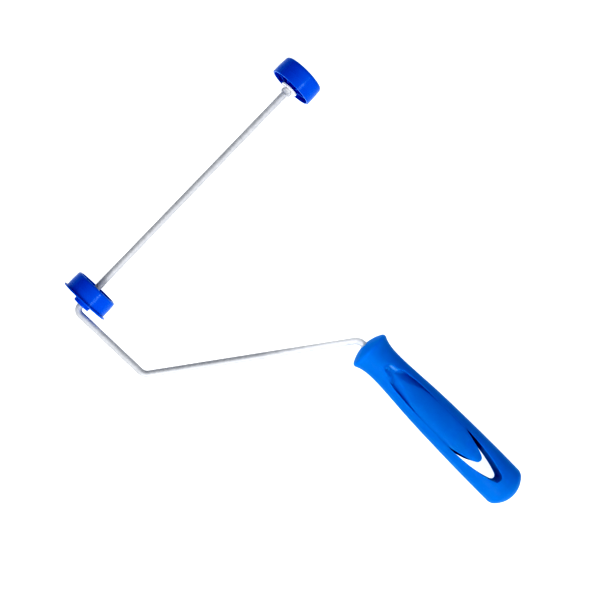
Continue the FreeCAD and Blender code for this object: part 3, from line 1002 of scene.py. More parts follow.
@dataclass
class RibbedCap:
    """End cap of the roller: a cup with a hub for its bush and ribs from hub to skirt."""

    name: str
    start: float                 # where depth 0 lies on the X axis
    sense: Sense                 # way in which the cap is open
    material: bpy.types.Material
    shell: list[Corner]          # from the skirt's inner lip, round the outside, to the hub's end
    pocket: list[Corner]         # between the ribs, from the hub to the skirt, at rib height
    rib_count: int = 6
    rib_thickness: float = 1.3 * MM
    rib_edge: float = 0.14 * MM
    rib_columns: tuple[float, ...] = (-1.0, -0.8, 0.8, 1.0)   # shares of half its thickness
    pocket_columns: int = 18
    deep_rows: int = 44
    change_over: float = 1.2 * MM   # from even columns to those that follow the ribs
    crease: float = 34.0

    def build(self) -> bpy.types.Object:
        """Make the cap as one closed grid of rows along its outline and columns round it.

        Every column follows the same shell. Between hub and skirt a column on a rib runs
        straight along the rib's top, and a column between two ribs goes down into the pocket,
        so the step between neighbours is the rib's side. On a rib, a column's angle is its
        share of the half thickness divided by the radius, as an arc sine, which keeps the
        rib's sides flat and parallel. On the outside the columns are evenly spread.

        Returns:
            The cap's object.
        """
        shell = eased_outline(self.shell)
        pocket = resampled_outline(eased_outline(self.pocket), self.deep_rows)
        lip = eased_outline([self.pocket[-1], self.shell[0]])
        top = np.linspace(pocket[0], pocket[-1], len(pocket)) * (1.0, 1.0, 0.0)
        on_pocket = np.concatenate([shell, pocket[1:], lip[1:]])
        on_rib = np.concatenate([shell, top[1:], lip[1:]])
        row = np.arange(len(on_rib))[:, None]
        deep = (row >= len(shell)) & (row < len(shell) + len(pocket) - 2)

        share = np.array(self.rib_columns)
        ribs = Sectors(self.rib_count, share, np.linspace(-1.0, 1.0, self.pocket_columns))
        drop = self.rib_edge * deep * (np.abs(ribs.place) == 1.0)
        depth = ribs.choose(on_rib[:, :1] - drop, on_pocket[:, :1])
        radius = ribs.choose(on_rib[:, 1:2], on_pocket[:, 1:2])
        wear = ribs.choose(on_rib[:, 2:], on_pocket[:, 2:])
        kept = ribs.angles(np.arcsin(
            self.rib_thickness / 2 / np.maximum(radius, self.rib_thickness)))
        even = (np.arange(len(ribs.place)) - (len(share) - 1) / 2) * FULL_TURN / len(ribs.place)
        run = distances(shell[:, :2])
        inside = np.ones(len(on_rib))
        inside[:len(shell)] = np.maximum(
            1.0 - smoothstep(0.0, self.change_over, run),
            smoothstep(run[-1] - self.change_over, run[-1], run))
        angle = even[None, :] + (kept - even[None, :]) * inside[:, None]
        points = turned(closed_round(depth), closed_round(radius), closed_round(angle),
                        self.start, self.sense)
        return Surface().add(points, closed_round(wear)).build(self.name, self.material,
                                                               self.crease)


def inner_cap(material: bpy.types.Material) -> RibbedCap:
    """Cap beside the side arm: the flange stops the sleeve, and depth starts at its face."""
    return RibbedCap(
        name="inner_cap_moulding", start=0.0, sense=Sense.TO_FREE_END, material=material,
        shell=corners_in_mm(
            (14.2, 16.4), (14.2, 18.6, 1.9), (6.0, 19.0), (0.0, 19.0, 0.15), (0.0, 21.0, 0.4),
            (-1.2, 21.0, 0.4), (-1.2, 7.5, 0.25), (-5.0, 7.2, 0.8), (-5.0, 3.05, 0.25),
            (-3.9, 3.05), (-3.9, 4.32), (6.5, 4.32, 0.2), (6.5, 6.0, 0.25), (5.7, 6.0)),
        pocket=corners_in_mm((5.7, 6.0), (0.8, 6.0, 0.5), (0.8, 16.8, 0.6), (3.7, 16.713)))


def outer_cap(material: bpy.types.Material) -> RibbedCap:
    """Cap at the free end: depth starts at its closed end, where the washer's pocket is."""
    return RibbedCap(
        name="outer_cap_moulding", start=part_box("outer_cap")[1].x, sense=Sense.TO_SIDE_ARM,
        material=material,
        shell=corners_in_mm(
            (16.5, 17.3), (16.5, 19.0, 0.5), (9.5, 19.0), (0.0, 18.4, 2.4), (0.0, 7.4, 0.3),
            (2.2, 7.4, 0.15), (2.2, 3.05, 0.2), (6.8, 3.05), (6.8, 4.32), (17.2, 4.32, 0.2),
            (17.2, 6.0, 0.25), (16.4, 6.0)),
        pocket=corners_in_mm(
            (16.4, 6.0), (4.0, 6.0, 0.4), (4.0, 9.0, 0.3), (2.4, 9.0, 0.3),
            (2.4, 16.7, 0.6), (14.4, 17.211)))


@dataclass
class StarWasher:
    """Spring washer on the free end: a flat ring whose slit inner edge leans outwards."""

    material: bpy.types.Material
    rim_radius: float = 6.3 * MM
    root_radius: float = 4.3 * MM
    tip_radius: float = 2.76 * MM
    sheet: float = 0.5 * MM
    edge_ease: float = 0.12 * MM
    rise: float = 0.7 * MM
    dish: float = 0.6            # share of the rise that grows with the square of the way in
    teeth: int = 6
    slot_width: float = 0.6 * MM
    tooth_rows: int = 8
    tooth_columns: int = 14
    slot_columns: int = 4
    wear: float = 0.3
    crease: float = 30.0

    def build(self) -> bpy.types.Object:
        """Make the washer as one closed grid.

        Every column runs round the ring's section. On a tooth it goes on along the tooth's
        two faces, which rise by r * ((1 - d) * t + d * t^2), t being the way in, r the rise
        and d the dish. In a slot those rows stay on the ring's inner edge.

        Returns:
            The washer's object.
        """
        ring = eased_outline([
            Corner(self.sheet, self.root_radius),
            Corner(self.sheet, self.rim_radius, self.edge_ease),
            Corner(0.0, self.rim_radius, self.edge_ease),
            Corner(0.0, self.root_radius)], arc_steps=3)
        way_in = np.linspace(0.0, 1.0, self.tooth_rows + 1)
        way_in = np.r_[way_in[1:], way_in[::-1]]
        flat = np.where(np.arange(len(way_in)) < self.tooth_rows, 0.0, self.sheet)
        rise = self.rise * ((1.0 - self.dish) * way_in + self.dish * way_in**2)
        reach = self.root_radius + (self.tip_radius - self.root_radius) * way_in
        teeth = Sectors(self.teeth, np.linspace(-1.0, 1.0, self.slot_columns),
                        np.linspace(-1.0, 1.0, self.tooth_columns))
        depth = teeth.choose(np.r_[ring[:, 0], flat][:, None],
                             np.r_[ring[:, 0], flat + rise][:, None])
        radius = teeth.choose(np.r_[ring[:, 1], np.full(len(flat), self.root_radius)][:, None],
                              np.r_[ring[:, 1], reach][:, None])
        angle = teeth.angles(np.arcsin(self.slot_width / 2 / radius))
        points = turned(depth, radius, angle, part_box("push_nut")[0].x, Sense.TO_FREE_END)
        return Surface().add(closed_round(points), self.wear).build(
            "star_washer", self.material, self.crease)


# ---------------------------------------------------------------- handle


@dataclass
class Handle:
    """Moulded handle: an oval grip with a flared guard and a leaf-shaped recess.

    Its own values are (across, station, height): across the grip, along it from the rim of
    the guard, and above its middle plane. A line is a row of (across, station) points.
    """

    material: bpy.types.Material
    wire: Wire
    guard_gap: float = 11.0 * MM
    stations: tuple[float, ...] = tuple(
        s * MM for s in (0.0, 6.5, 19.0, 36.0, 58.0, 91.0, 130.0, 157.2))
    half_widths: tuple[float, ...] = tuple(
        r * MM for r in (18.4, 15.5, 14.1, 14.7, 16.1, 17.3, 17.9, 17.9))
    flare_slope: float = -0.68
    flatness: float = 15.2 / 17.9
    guard_dome: float = 5.8 * MM
    guard_ease: float = 2.6 * MM
    butt_dome: float = 9.38 * MM
    butt_ease: float = 2.4 * MM
    round_share: float = 0.56    # of the way to a corner, where a rolled rim's poles lie
    bore: float = 2.8 * MM
    bore_depth: float = 82.0 * MM
    bore_flat: tuple[float, float] = (4.55 * MM, 1.95 * MM)
    bore_flat_ends: tuple[float, float] = (9.95 * MM, 24.05 * MM)   # from the bore's bottom
    mouth_ease: float = 0.3 * MM
    bore_round: float = 3.2      # bore radii out from its middle, where the guard is oval
    leaf_tip: float = 15.5 * MM
    leaf_tip_angle: float = math.radians(62.0)
    leaf_widest: float = 96.0 * MM
    leaf_half_width: float = 10.3 * MM
    leaf_end: float = 147.4 * MM
    leaf_end_radius: float = 4.3 * MM
    leaf_end_angle: float = math.radians(20.0)
    leaf_arms: tuple[float, ...] = (9.0 * MM, 58.0 * MM, 16.0 * MM, 13.0 * MM)
    leaf_ease: float = 1.0 * MM
    back_ease: float = 0.7 * MM
    groove_ease: float = 1.6 * MM
    groove_run: float = 14.0 * MM    # over which the groove fades out before the slit
    ease_share: float = 0.45     # of the recess's depth, where it limits an ease
    border_wear: float = 0.6
    dish_start: float = 4.5 * MM
    dish_reach: float = 3.2 * MM
    dish_flare: float = 0.3
    dish_share: float = 0.42     # of its reach to each side
    dish_fall: tuple[float, float] = (26.0 * MM, 36.0 * MM)
    dish_drop: float = 4.0 * MM
    dish_ease: float = 0.9 * MM
    nose_rise: tuple[float, float] = (25.0 * MM, 35.0 * MM)
    nose_drop: float = 2.6 * MM
    crown_drop: float = 0.3 * MM
    crown_spread: tuple[float, float] = (29.0 * MM, 58.0 * MM)
    crown_share: float = 0.9     # of the way to the border
    foot_rise: tuple[float, float] = (42.0 * MM, 68.0 * MM)
    foot_drop: float = 3.2 * MM
    seam_drop: float = 0.1 * MM
    ridge_ease: float = 0.15
    polish_end: tuple[float, float] = (24.0 * MM, 34.0 * MM)
    tongue_root: float = 94.0 * MM
    tongue_margin: float = 1.2 * MM
    tongue_root_angle: float = math.radians(15.0)
    tongue_tip: float = 124.4 * MM
    tongue_tip_radius: float = 3.6 * MM
    tongue_tip_angle: float = math.radians(32.0)
    tongue_arms: tuple[float, float] = (9.0 * MM, 6.0 * MM)
    tongue_ease: float = 0.45 * MM
    tongue_draft: float = 1.5 * MM   # how much its back is wider on each side
    tongue_draft_run: float = 10.0 * MM
    tongue_ease_run: float = 4.0 * MM
    window_draft: tuple[float, float] = (0.8 * MM, 1.4 * MM)   # narrower and longer at the back
    window_draft_run: tuple[float, float] = (10.0 * MM, 24.0 * MM)
    window_ease_run: float = 6.0 * MM
    butt_gap: float = 0.5 * MM   # from the leaf's end to the butt's rows
    side_columns: int = 60
    back_columns: int = 14
    tongue_columns: int = 30
    ease_columns: int = 6
    wall_columns: int = 6
    outline_rows: tuple[int, int, int] = (124, 96, 60)   # leaf to the slit, leaf on, tongue
    guard_rim: tuple[int, int, int] = (26, 12, 46)   # rows on the dome, the rim and the flare
    butt_rim: tuple[int, int, int] = (14, 10, 34)    # rows on the side, the rim and the dome
    rim_wear: float = 0.4
    _width: SmoothCurve = field(init=False)
    _leaf: Array = field(init=False)
    _leaf_side: Array = field(init=False)    # the leaf's outline short of its round end

    def __post_init__(self) -> None:
        """Lay the curve of half widths through its stations, and draw the leaf."""
        self._width = SmoothCurve(self.stations, self.half_widths, self.flare_slope, 0.0)
        self._leaf_side, end = self.leaf_line()
        self._leaf = np.concatenate([self._leaf_side, end])

    def skin(self, station: Array, angle: Array) -> Array:
        """Oval skin: half width times cosine across, and times sine and flatness up."""
        width = self._width(station)
        return self.ring(width, station, self.flatness * width, angle)

    @staticmethod
    def ring(width: Array, station: Array, height: Array, angle: Array) -> Array:
        """Points of ellipses at their stations: half width * cosine, half height * sine."""
        return np.stack(np.broadcast_arrays(
            width * np.cos(angle), station, height * np.sin(angle)), axis=-1)

    def crown(self, across: Array, station: Array) -> Array:
        """Height of the oval skin's front: flatness * sqrt(half width^2 - across^2)."""
        return self.flatness * np.sqrt(np.maximum(self._width(station)**2 - across**2, 0.0))

    def back(self, across: Array, station: Array) -> Array:
        """Height of the oval skin's back, the front's mirror image."""
        return -self.crown(across, station)

    def floor(self, across: Array, station: Array) -> Array:
        """Height of the recess's floor, which is the skin's height less the recess's depth.

        The leaf's point is a dish of depth c * L * (1 - (x / L)^2)^2, x being the distance
        from the axis and L the dish's reach, which grows steadily along the handle. Further
        on a pointed nose rises out of it: its crown follows the skin a little lower, and from
        the edge of that crown, at the share e of the way to the border, the flanks fall to
        the border's foot as sqrt(v^2 + r^2) - r does, where v is (u - e) / (1 - e) and r
        eases the crown's edge. The floor is the higher of the two, m and n in depth, eased
        as (m + n - sqrt((m - n)^2 + s^2)) / 2.

        Args:
            across: Distance of each point from the handle's axis.
            station: Its station.

        Returns:
            The floor's height at each point.
        """
        border = np.interp(station, self._leaf[:, 1], self._leaf[:, 0])
        share = np.clip(np.abs(across) / np.maximum(border, TINY), 0.0, 1.0)
        past_tip = station - self.leaf_tip
        reach = self.dish_reach + self.dish_flare * past_tip
        bowl = (1.0 - np.clip(np.abs(across) / reach, 0.0, 1.0) ** 2) ** 2
        dish = (self.dish_share * reach * bowl * smoothstep(0.0, self.dish_start, past_tip)
                + self.dish_drop * smoothstep(*self.dish_fall, station))
        edge = self.crown_share * smoothstep(*self.crown_spread, station)
        past = np.clip((share - edge) / (1.0 - edge), 0.0, 1.0)
        ease = self.ridge_ease
        fall = (np.hypot(past, ease) - ease) / (math.hypot(1.0, ease) - ease)
        crown = self.crown_drop + (self.nose_drop - self.crown_drop) * (
            1.0 - smoothstep(*self.nose_rise, station))
        foot = self.crown_drop + self.seam_drop + self.foot_drop * (
            1.0 - smoothstep(*self.foot_rise, station))
        nose = crown + (foot - crown) * fall
        depth = np.maximum(0.5 * (dish + nose - np.hypot(dish - nose, self.dish_ease)), 0.0)
        return self.crown(across, station) - depth

    def leaf_line(self) -> tuple[Array, Array]:
        """Right half of the leaf: two cubic Bezier curves, and the circle arc at its end.

        Returns:
            The curves' points, and the arc's.
        """
        turn = self.leaf_tip_angle
        tip = np.array([0.0, self.leaf_tip])
        widest = np.array([self.leaf_half_width, self.leaf_widest])
        along = np.array([0.0, 1.0])
        heel, heel_way, end = self.round_end(self.leaf_end, self.leaf_end_radius,
                                             self.leaf_end_angle)
        arms = self.leaf_arms
        shares = np.linspace(0.0, 1.0, LINE_POINTS)[:, None]
        front = bezier([tip, tip + arms[0] * np.array([math.sin(turn), math.cos(turn)]),
                        widest - arms[1] * along, widest], shares)
        rear = bezier([widest, widest + arms[2] * along, heel - arms[3] * heel_way, heel],
                      shares)
        return np.concatenate([front, rear[1:]]), end[1:]

    def tongue_line(self) -> Array:
        """Right half of the tongue's end: a cubic Bezier curve and a circle arc.

        Returns:
            The line's points.
        """
        root = np.array([self.leaf_half_width + self.tongue_margin, self.tongue_root])
        turn = self.tongue_root_angle
        heel, heel_way, end = self.round_end(self.tongue_tip, self.tongue_tip_radius,
                                             self.tongue_tip_angle)
        side = bezier([root, root + self.tongue_arms[0] * np.array([-math.sin(turn),
                                                                    math.cos(turn)]),
                       heel - self.tongue_arms[1] * heel_way, heel],
                      np.linspace(0.0, 1.0, LINE_POINTS)[:, None])
        return np.concatenate([side, end[1:]])

    @staticmethod
    def round_end(station: float, radius: float, angle: float) -> tuple[Array, Array, Array]:
        """Round end of an outline.

        Args:
            station: Where the end crosses the handle's axis.
            radius: Its radius.
            angle: Angle of the point where the side meets it, off square to the axis.

        Returns:
            That point, the side's direction there and the arc from it to the axis.
        """
        turns = np.linspace(angle, QUARTER_TURN, 240)
        arc = np.stack([radius * np.cos(turns), station - radius + radius * np.sin(turns)], axis=1)
        arc[-1, 0] = 0.0
        return arc[0], np.array([-math.sin(angle), math.cos(angle)]), arc

    def rolled(self, first: Array, second: Array, reach: float,
               counts: tuple[int, int, int], skipped: float = 0.0) -> tuple[Array, Array]:
        """Two lines joined by a cubic Bezier that rounds their corner almost as an arc does.

        Args:
            first: Line that ends in the corner.
            second: Line that starts there.
            reach: How far from the corner the rounding begins on each.
            counts: Points on the first line, divisions of the rounding, points on the second.
            skipped: Length left out at the first line's start.

        Returns:
            The joined line's points, and the wear at each.
        """
        corner = second[0]
        before = stretch_of(first, skipped, -reach, counts[0])
        after = stretch_of(second, reach, 0.0, counts[2])
        shares = np.linspace(0.0, 1.0, counts[1] + 1)[:, None]
        start, end = before[-1], after[0]
        arc = bezier([start, start + (corner - start) * self.round_share,
                      end + (corner - end) * self.round_share, end], shares)[1:-1]
        wear = self.rim_wear * np.sin(math.pi * shares[1:-1, 0])
        return (np.concatenate([before, arc, after]),
                np.concatenate([np.zeros(len(before)), wear, np.zeros(len(after))]))

    def guard_rows(self) -> tuple[Array, Array, Array, Array]:
        """Rows from the bottom of the bore, over the guard's dome and rim, to the leaf's tip.

        Returns:
            Station, half width, half height and wear of each row.
        """
        rim = self.half_widths[0]
        sphere = (rim**2 + self.guard_dome**2) / (2 * self.guard_dome)
        out = np.linspace(self.bore, rim, 400)
        dome = np.stack([-self.guard_dome + sphere - np.sqrt(sphere**2 - out**2), out], axis=1)
        along = np.linspace(0.0, self.leaf_tip, 1500)
        flare = np.stack([along, self._width(along)], axis=1)
        side, wear = self.rolled(dome, flare, self.guard_ease, self.guard_rim,
                                 self.mouth_ease)
        flat_end, flat_start = (self.bore_depth - end for end in self.bore_flat_ends)
        wide, thick = self.bore_flat
        stations = np.array([self.bore_depth, self.bore_depth, flat_end, flat_end, flat_start,
                             flat_start, dome[0, 0] + 2 * self.mouth_ease,
                             dome[0, 0] + self.mouth_ease])
        widths = np.array([0.0, *[self.bore] * 2, wide, wide, *[self.bore] * 3])
        heights = np.where(widths == wide, thick, widths)
        oval = 1.0 + (self.flatness - 1.0) * smoothstep(
            self.bore, self.bore_round * self.bore, side[:, 1])
        return (np.r_[stations, side[:, 0]], np.r_[widths, side[:, 1]],
                np.r_[heights, side[:, 1] * oval], np.r_[np.zeros(len(stations)), wear])

    def butt_rows(self, start: float) -> tuple[Array, Array, Array, Array]:
        """Rows from behind the leaf's end, round the butt's rim, to the top of its dome.

        Args:
            start: Station of the first row.

        Returns:
            Station, half width, half height and wear of each row.
        """
        rim, end = self.half_widths[-1], self.stations[-1]
        sphere = (rim**2 + self.butt_dome**2) / (2 * self.butt_dome)
        along = np.linspace(start, end, 400)
        side = np.stack([along, self._width(along)], axis=1)
        lean = np.linspace(math.asin(rim / sphere), 0.0, 500)
        dome = np.stack([end + self.butt_dome - sphere * (1.0 - np.cos(lean)),
                         sphere * np.sin(lean)], axis=1)
        rows, wear = self.rolled(side, dome, self.butt_ease, self.butt_rim)
        return rows[:, 0], rows[:, 1], rows[:, 1] * self.flatness, wear

    def build(self) -> bpy.types.Object:
        """Make the handle's right half out of grids, and its left half as their mirror image.

        The rows of every grid follow the leaf's outline, and past the point where the slit
        opens, the tongue's outline too. So neighbours share their edge points.

        Returns:
            The handle's object.
        """
        tongue = self.tongue_line()
        past = tongue[:, 0] - np.interp(tongue[:, 1], self._leaf_side[:, 1],
                                        self._leaf_side[:, 0])
        inside = int(np.argmax(past < 0.0))
        share = past[inside - 1] / (past[inside - 1] - past[inside])
        tongue_meet = np.interp(share, [0.0, 1.0], distances(tongue)[inside - 1:inside + 1])
        meet = points_at(tongue, np.array([tongue_meet]))[0]
        leaf_meet = float(np.interp(meet[1], self._leaf_side[:, 1],
                                    distances(self._leaf_side)))
        closed_rows, opened_rows, edge_rows = self.outline_rows
        closed = stretch_of(self._leaf, 0.0, leaf_meet, closed_rows)
        opened = stretch_of(self._leaf, leaf_meet, 0.0, opened_rows)
        edge = stretch_of(tongue, float(tongue_meet), 0.0, edge_rows)
        opened[0] = edge[0] = closed[-1]

        way = self.wire.handle_way
        surface = Surface(
            np.append(self.wire.handle_corner + way * self.guard_gap, 0.0),
            np.array([[-way[1], way[0], 0.0], [way[0], way[1], 0.0], [0.0, 0.0, 1.0]]))
        rail_front, foot = self._leaf_border(surface, np.concatenate([closed, opened[1:]]),
                                             len(closed))
        rail_back = self._slit_wall(surface, opened, closed)
        self._tongue(surface, closed, foot, edge)
        self._sides(surface, rail_front, rail_back)
        return surface.build("handle_moulding", self.material)

    @staticmethod
    def moved(line: Array, size: Array) -> Array:
        """Line moved outwards by a size at each point, with its end kept on the axis.

        Args:
            line: The line, which ends on the handle's axis.
            size: How far, as one value for each point or one for each of its directions.

        Returns:
            The moved line.
        """
        normals = outward_normals(line)
        normals[-1] = (0.0, 1.0)
        result = line + normals * (size if size.ndim > 1 else size[:, None])
        result[-1, 0] = 0.0
        return result

    @staticmethod
    def raised(line: Array, height: Callable[[Array, Array], Array],
               offset: Array | float = 0.0) -> Array:
        """Points of a line at the height that a surface has there, plus an offset."""
        return np.column_stack([line, height(line[:, 0], line[:, 1]) + offset])

    def _rounded(self, surface: Surface, *poles: Array, wear: Array | float) -> None:
        """Add the quadratic Bezier strip between two edges, with its corner as the middle pole.

        Args:
            surface: The surface to add to.
            *poles: Three rows of points: one edge, the corner and the other edge.
            wear: Wear in the strip's middle, for each point or for all.
        """
        shares = np.linspace(0.0, 1.0, self.ease_columns + 1)[None, :, None]
        strip = bezier([pole[:, None, :] for pole in poles], shares)
        surface.add_mirrored(strip, np.reshape(wear, (-1, 1)) * np.sin(math.pi * shares[..., 0]))

    def _wall(self, surface: Surface, upper: Array, lower: Array) -> None:
        """Add the straight wall between two edges."""
        shares = np.linspace(0.0, 1.0, self.wall_columns + 1)[None, :, None]
        surface.add_mirrored(upper[:, None] + (lower - upper)[:, None] * shares, polish=-1.0)

    def _leaf_border(self, surface: Surface, outline: Array, meet: int) -> tuple[Array, Array]:
        """Rounded border of the leaf, its wall above the floor, and the groove at its foot.

        An ease e becomes e * tanh(s * depth / e), s being the ease share, so it vanishes at
        the leaf's point. The groove's also vanishes where the slit opens.

        Args:
            surface: The surface to add to.
            outline: The leaf's outline.
            meet: How many of its points come before the slit opens.

        Returns:
            The border's outer edge, and the inner edge of the groove.
        """
        depth = self.crown(*outline.T) - self.floor(*outline.T)
        border, groove = (ease * np.tanh(self.ease_share * depth / ease)
                          for ease in (self.leaf_ease, self.groove_ease))
        groove *= smoothstep(0.0, self.groove_run, outline[meet - 1, 1] - outline[:, 1])
        border[0] = groove[0] = 0.0
        outer = self.moved(outline, border)
        rim = self.raised(outline, self.crown, -border)
        foot_top = self.raised(outline, self.floor, groove)
        self._rounded(surface, self.raised(outer, self.crown),
                      self.raised(outline, self.crown), rim,
                      wear=self.border_wear * border / self.leaf_ease)
        self._wall(surface, rim, foot_top)
        foot = np.maximum(self.moved(outline, -groove)[:meet], 0.0)
        self._rounded(surface, foot_top[:meet], self.raised(outline[:meet], self.floor),
                      self.raised(foot, self.floor), wear=0.0)
        return outer, foot

    def _slit_wall(self, surface: Surface, opened: Array, closed: Array) -> Array:
        """Lower wall of the slit and the window, and its rounded border at the back.

        Args:
            surface: The surface to add to.
            opened: The leaf's outline from the point where the slit opens.
            closed: The leaf's outline up to that point.

        Returns:
            The back border's outer edge, over the whole leaf.
        """
        run = distances(opened)
        border = self.back_ease * smoothstep(0.0, self.window_ease_run, run)
        narrower, longer = self.window_draft
        draft = (smoothstep(*self.window_draft_run, run)[:, None]
                 * np.array([-narrower, longer]))
        under = self.moved(opened, draft)
        outer = self.moved(opened, draft + border[:, None])
        rim = self.raised(under, self.back, border)
        self._wall(surface, self.raised(opened, self.floor), rim)
        self._rounded(surface, rim, self.raised(under, self.back),
                      self.raised(outer, self.back), wear=1.0)
        return np.concatenate([self._straight(closed), outer[1:]])

    @staticmethod
    def _straight(closed: Array) -> Array:
        """Line at the stations of another and as far across as its last point."""
        return np.column_stack([np.full(len(closed), closed[-1, 0]), closed[:, 1]])

    def _floor_grid(self, line: Array) -> Array:
        """Rows of the floor from the handle's axis out to a line, at its stations.

        Args:
            line: The line.

        Returns:
            The floor's points, as rows by columns by 3.
        """
        across = line[:, :1] * np.linspace(0.0, 1.0, self.tongue_columns + 1)[None, :]
        station = np.broadcast_to(line[:, 1:], across.shape)
        return np.stack([across, station, self.floor(across, station)], axis=-1)

    def _tongue(self, surface: Surface, closed: Array, foot: Array, edge: Array) -> None:
        """Floor of the recess, the free end of the tongue, and the back behind both.

        Args:
            surface: The surface to add to.
            closed: The leaf's outline up to the point where the slit opens.
            foot: Inner edge of the groove there.
            edge: The tongue's outline from that point to its tip.
        """
        recess = self._floor_grid(foot)
        surface.add_mirrored(recess, polish=1.0 - smoothstep(*self.polish_end, recess[..., 1]))
        run = distances(edge)
        eased = smoothstep(0.0, self.tongue_ease_run, run)
        front_ease, back_ease = self.tongue_ease * eased, self.back_ease * eased
        draft = self.tongue_draft * smoothstep(0.0, self.tongue_draft_run, run)
        under = self.moved(edge, draft)
        front = self.moved(edge, -front_ease)
        rear = self.moved(edge, draft - back_ease)
        upper = self.raised(edge, self.floor, -front_ease)
        lower = self.raised(under, self.back, back_ease)
        surface.add_mirrored(self._floor_grid(front))
        self._rounded(surface, self.raised(front, self.floor), self.raised(edge, self.floor),
                      upper, wear=1.0)
        self._wall(surface, upper, lower)
        self._rounded(surface, lower, self.raised(under, self.back),
                      self.raised(rear, self.back), wear=1.0)
        shares = np.linspace(0.0, 1.0, self.back_columns + 1)[None, :]
        for line in (self._straight(closed), rear):
            start = -self._angle(line)
            surface.add_mirrored(self.skin(line[:, 1:],
                                           start + (-QUARTER_TURN - start) * shares))

    def _angle(self, line: Array) -> Array:
        """Angle on the oval skin at each point of a line, as a column."""
        return np.arccos(np.clip(line[:, :1] / self._width(line[:, 1:]), -1.0, 1.0))

    def _sides(self, surface: Surface, front: Array, back: Array) -> None:
        """Outer skin: the guard, the sides between the leaf's two borders, and the butt.

        Args:
            surface: The surface to add to.
            front: Outer edge of the leaf's border on the front.
            back: Outer edge of its border on the back.
        """
        first, last = self._angle(front), -self._angle(back)
        shares = np.linspace(0.0, 1.0, self.side_columns + 1)[None, :]
        sides = self.skin(front[:, 1:] + (back[:, 1:] - front[:, 1:]) * shares,
                          first + (last - first) * shares)
        surface.add_mirrored(sides)
        split = float(last[0, 0])
        inner = np.linspace(0.0, 1.0, self.back_columns + 1)[1:]
        whole = np.r_[QUARTER_TURN + (split - QUARTER_TURN) * shares[0],
                      split + (-QUARTER_TURN - split) * inner][None, :]
        butt = QUARTER_TURN - math.pi * shares
        behind = max(front[-1, 1], back[-1, 1]) + self.butt_gap
        for rows, turns in ((self.guard_rows(), whole), (self.butt_rows(behind), butt)):
            station, width, height, wear = (row[:, None] for row in rows)
            surface.add_mirrored(self.ring(width, station, height, turns), wear)
        surface.add_mirrored(np.stack([sides[-1], self.skin(behind, butt)[0]]))


# ---------------------------------------------------------------- studio


@dataclass(frozen=True)
class Lamp:
    """Oblong soft light aimed at a point."""

    name: str
    place: Triple
    target: Triple
    size: tuple[float, float]    # its level side and its other side
    power: float                 # watts
    spread: float = 180.0        # degrees, angle of its beam

    def build(self) -> None:
        """Add the light."""
        lamp = bpy.data.lights.new(self.name, "AREA")
        lamp.spread = math.radians(self.spread)
        lamp.shape = "RECTANGLE"
        lamp.size, lamp.size_y = self.size
        lamp.energy = self.power
        holder = in_scene(self.name, lamp)
        holder.location = self.place
        aim = Vector(self.target) - Vector(self.place)
        holder.rotation_euler = aim.to_track_quat("-Z", "Y").to_euler()


LAMPS = (
    Lamp("key", (-0.70, -0.68, 0.78), (0.10, -0.17, 0.0), (0.26, 0.26), 4.3),
    Lamp("strip", (0.22, -0.78, 1.04), (0.22, 0.0, 0.0), (0.75, 0.12), 2.3),
    Lamp("near_fill", (0.125, -0.08, 0.12), (0.125, -0.19, 0.0), (0.05, 0.05), 0.013, 60.0),
    Lamp("end_fill", (0.13, 0.25, 0.5), (0.135, -0.36, 0.0), (0.05, 0.05), 0.005, 10.0))


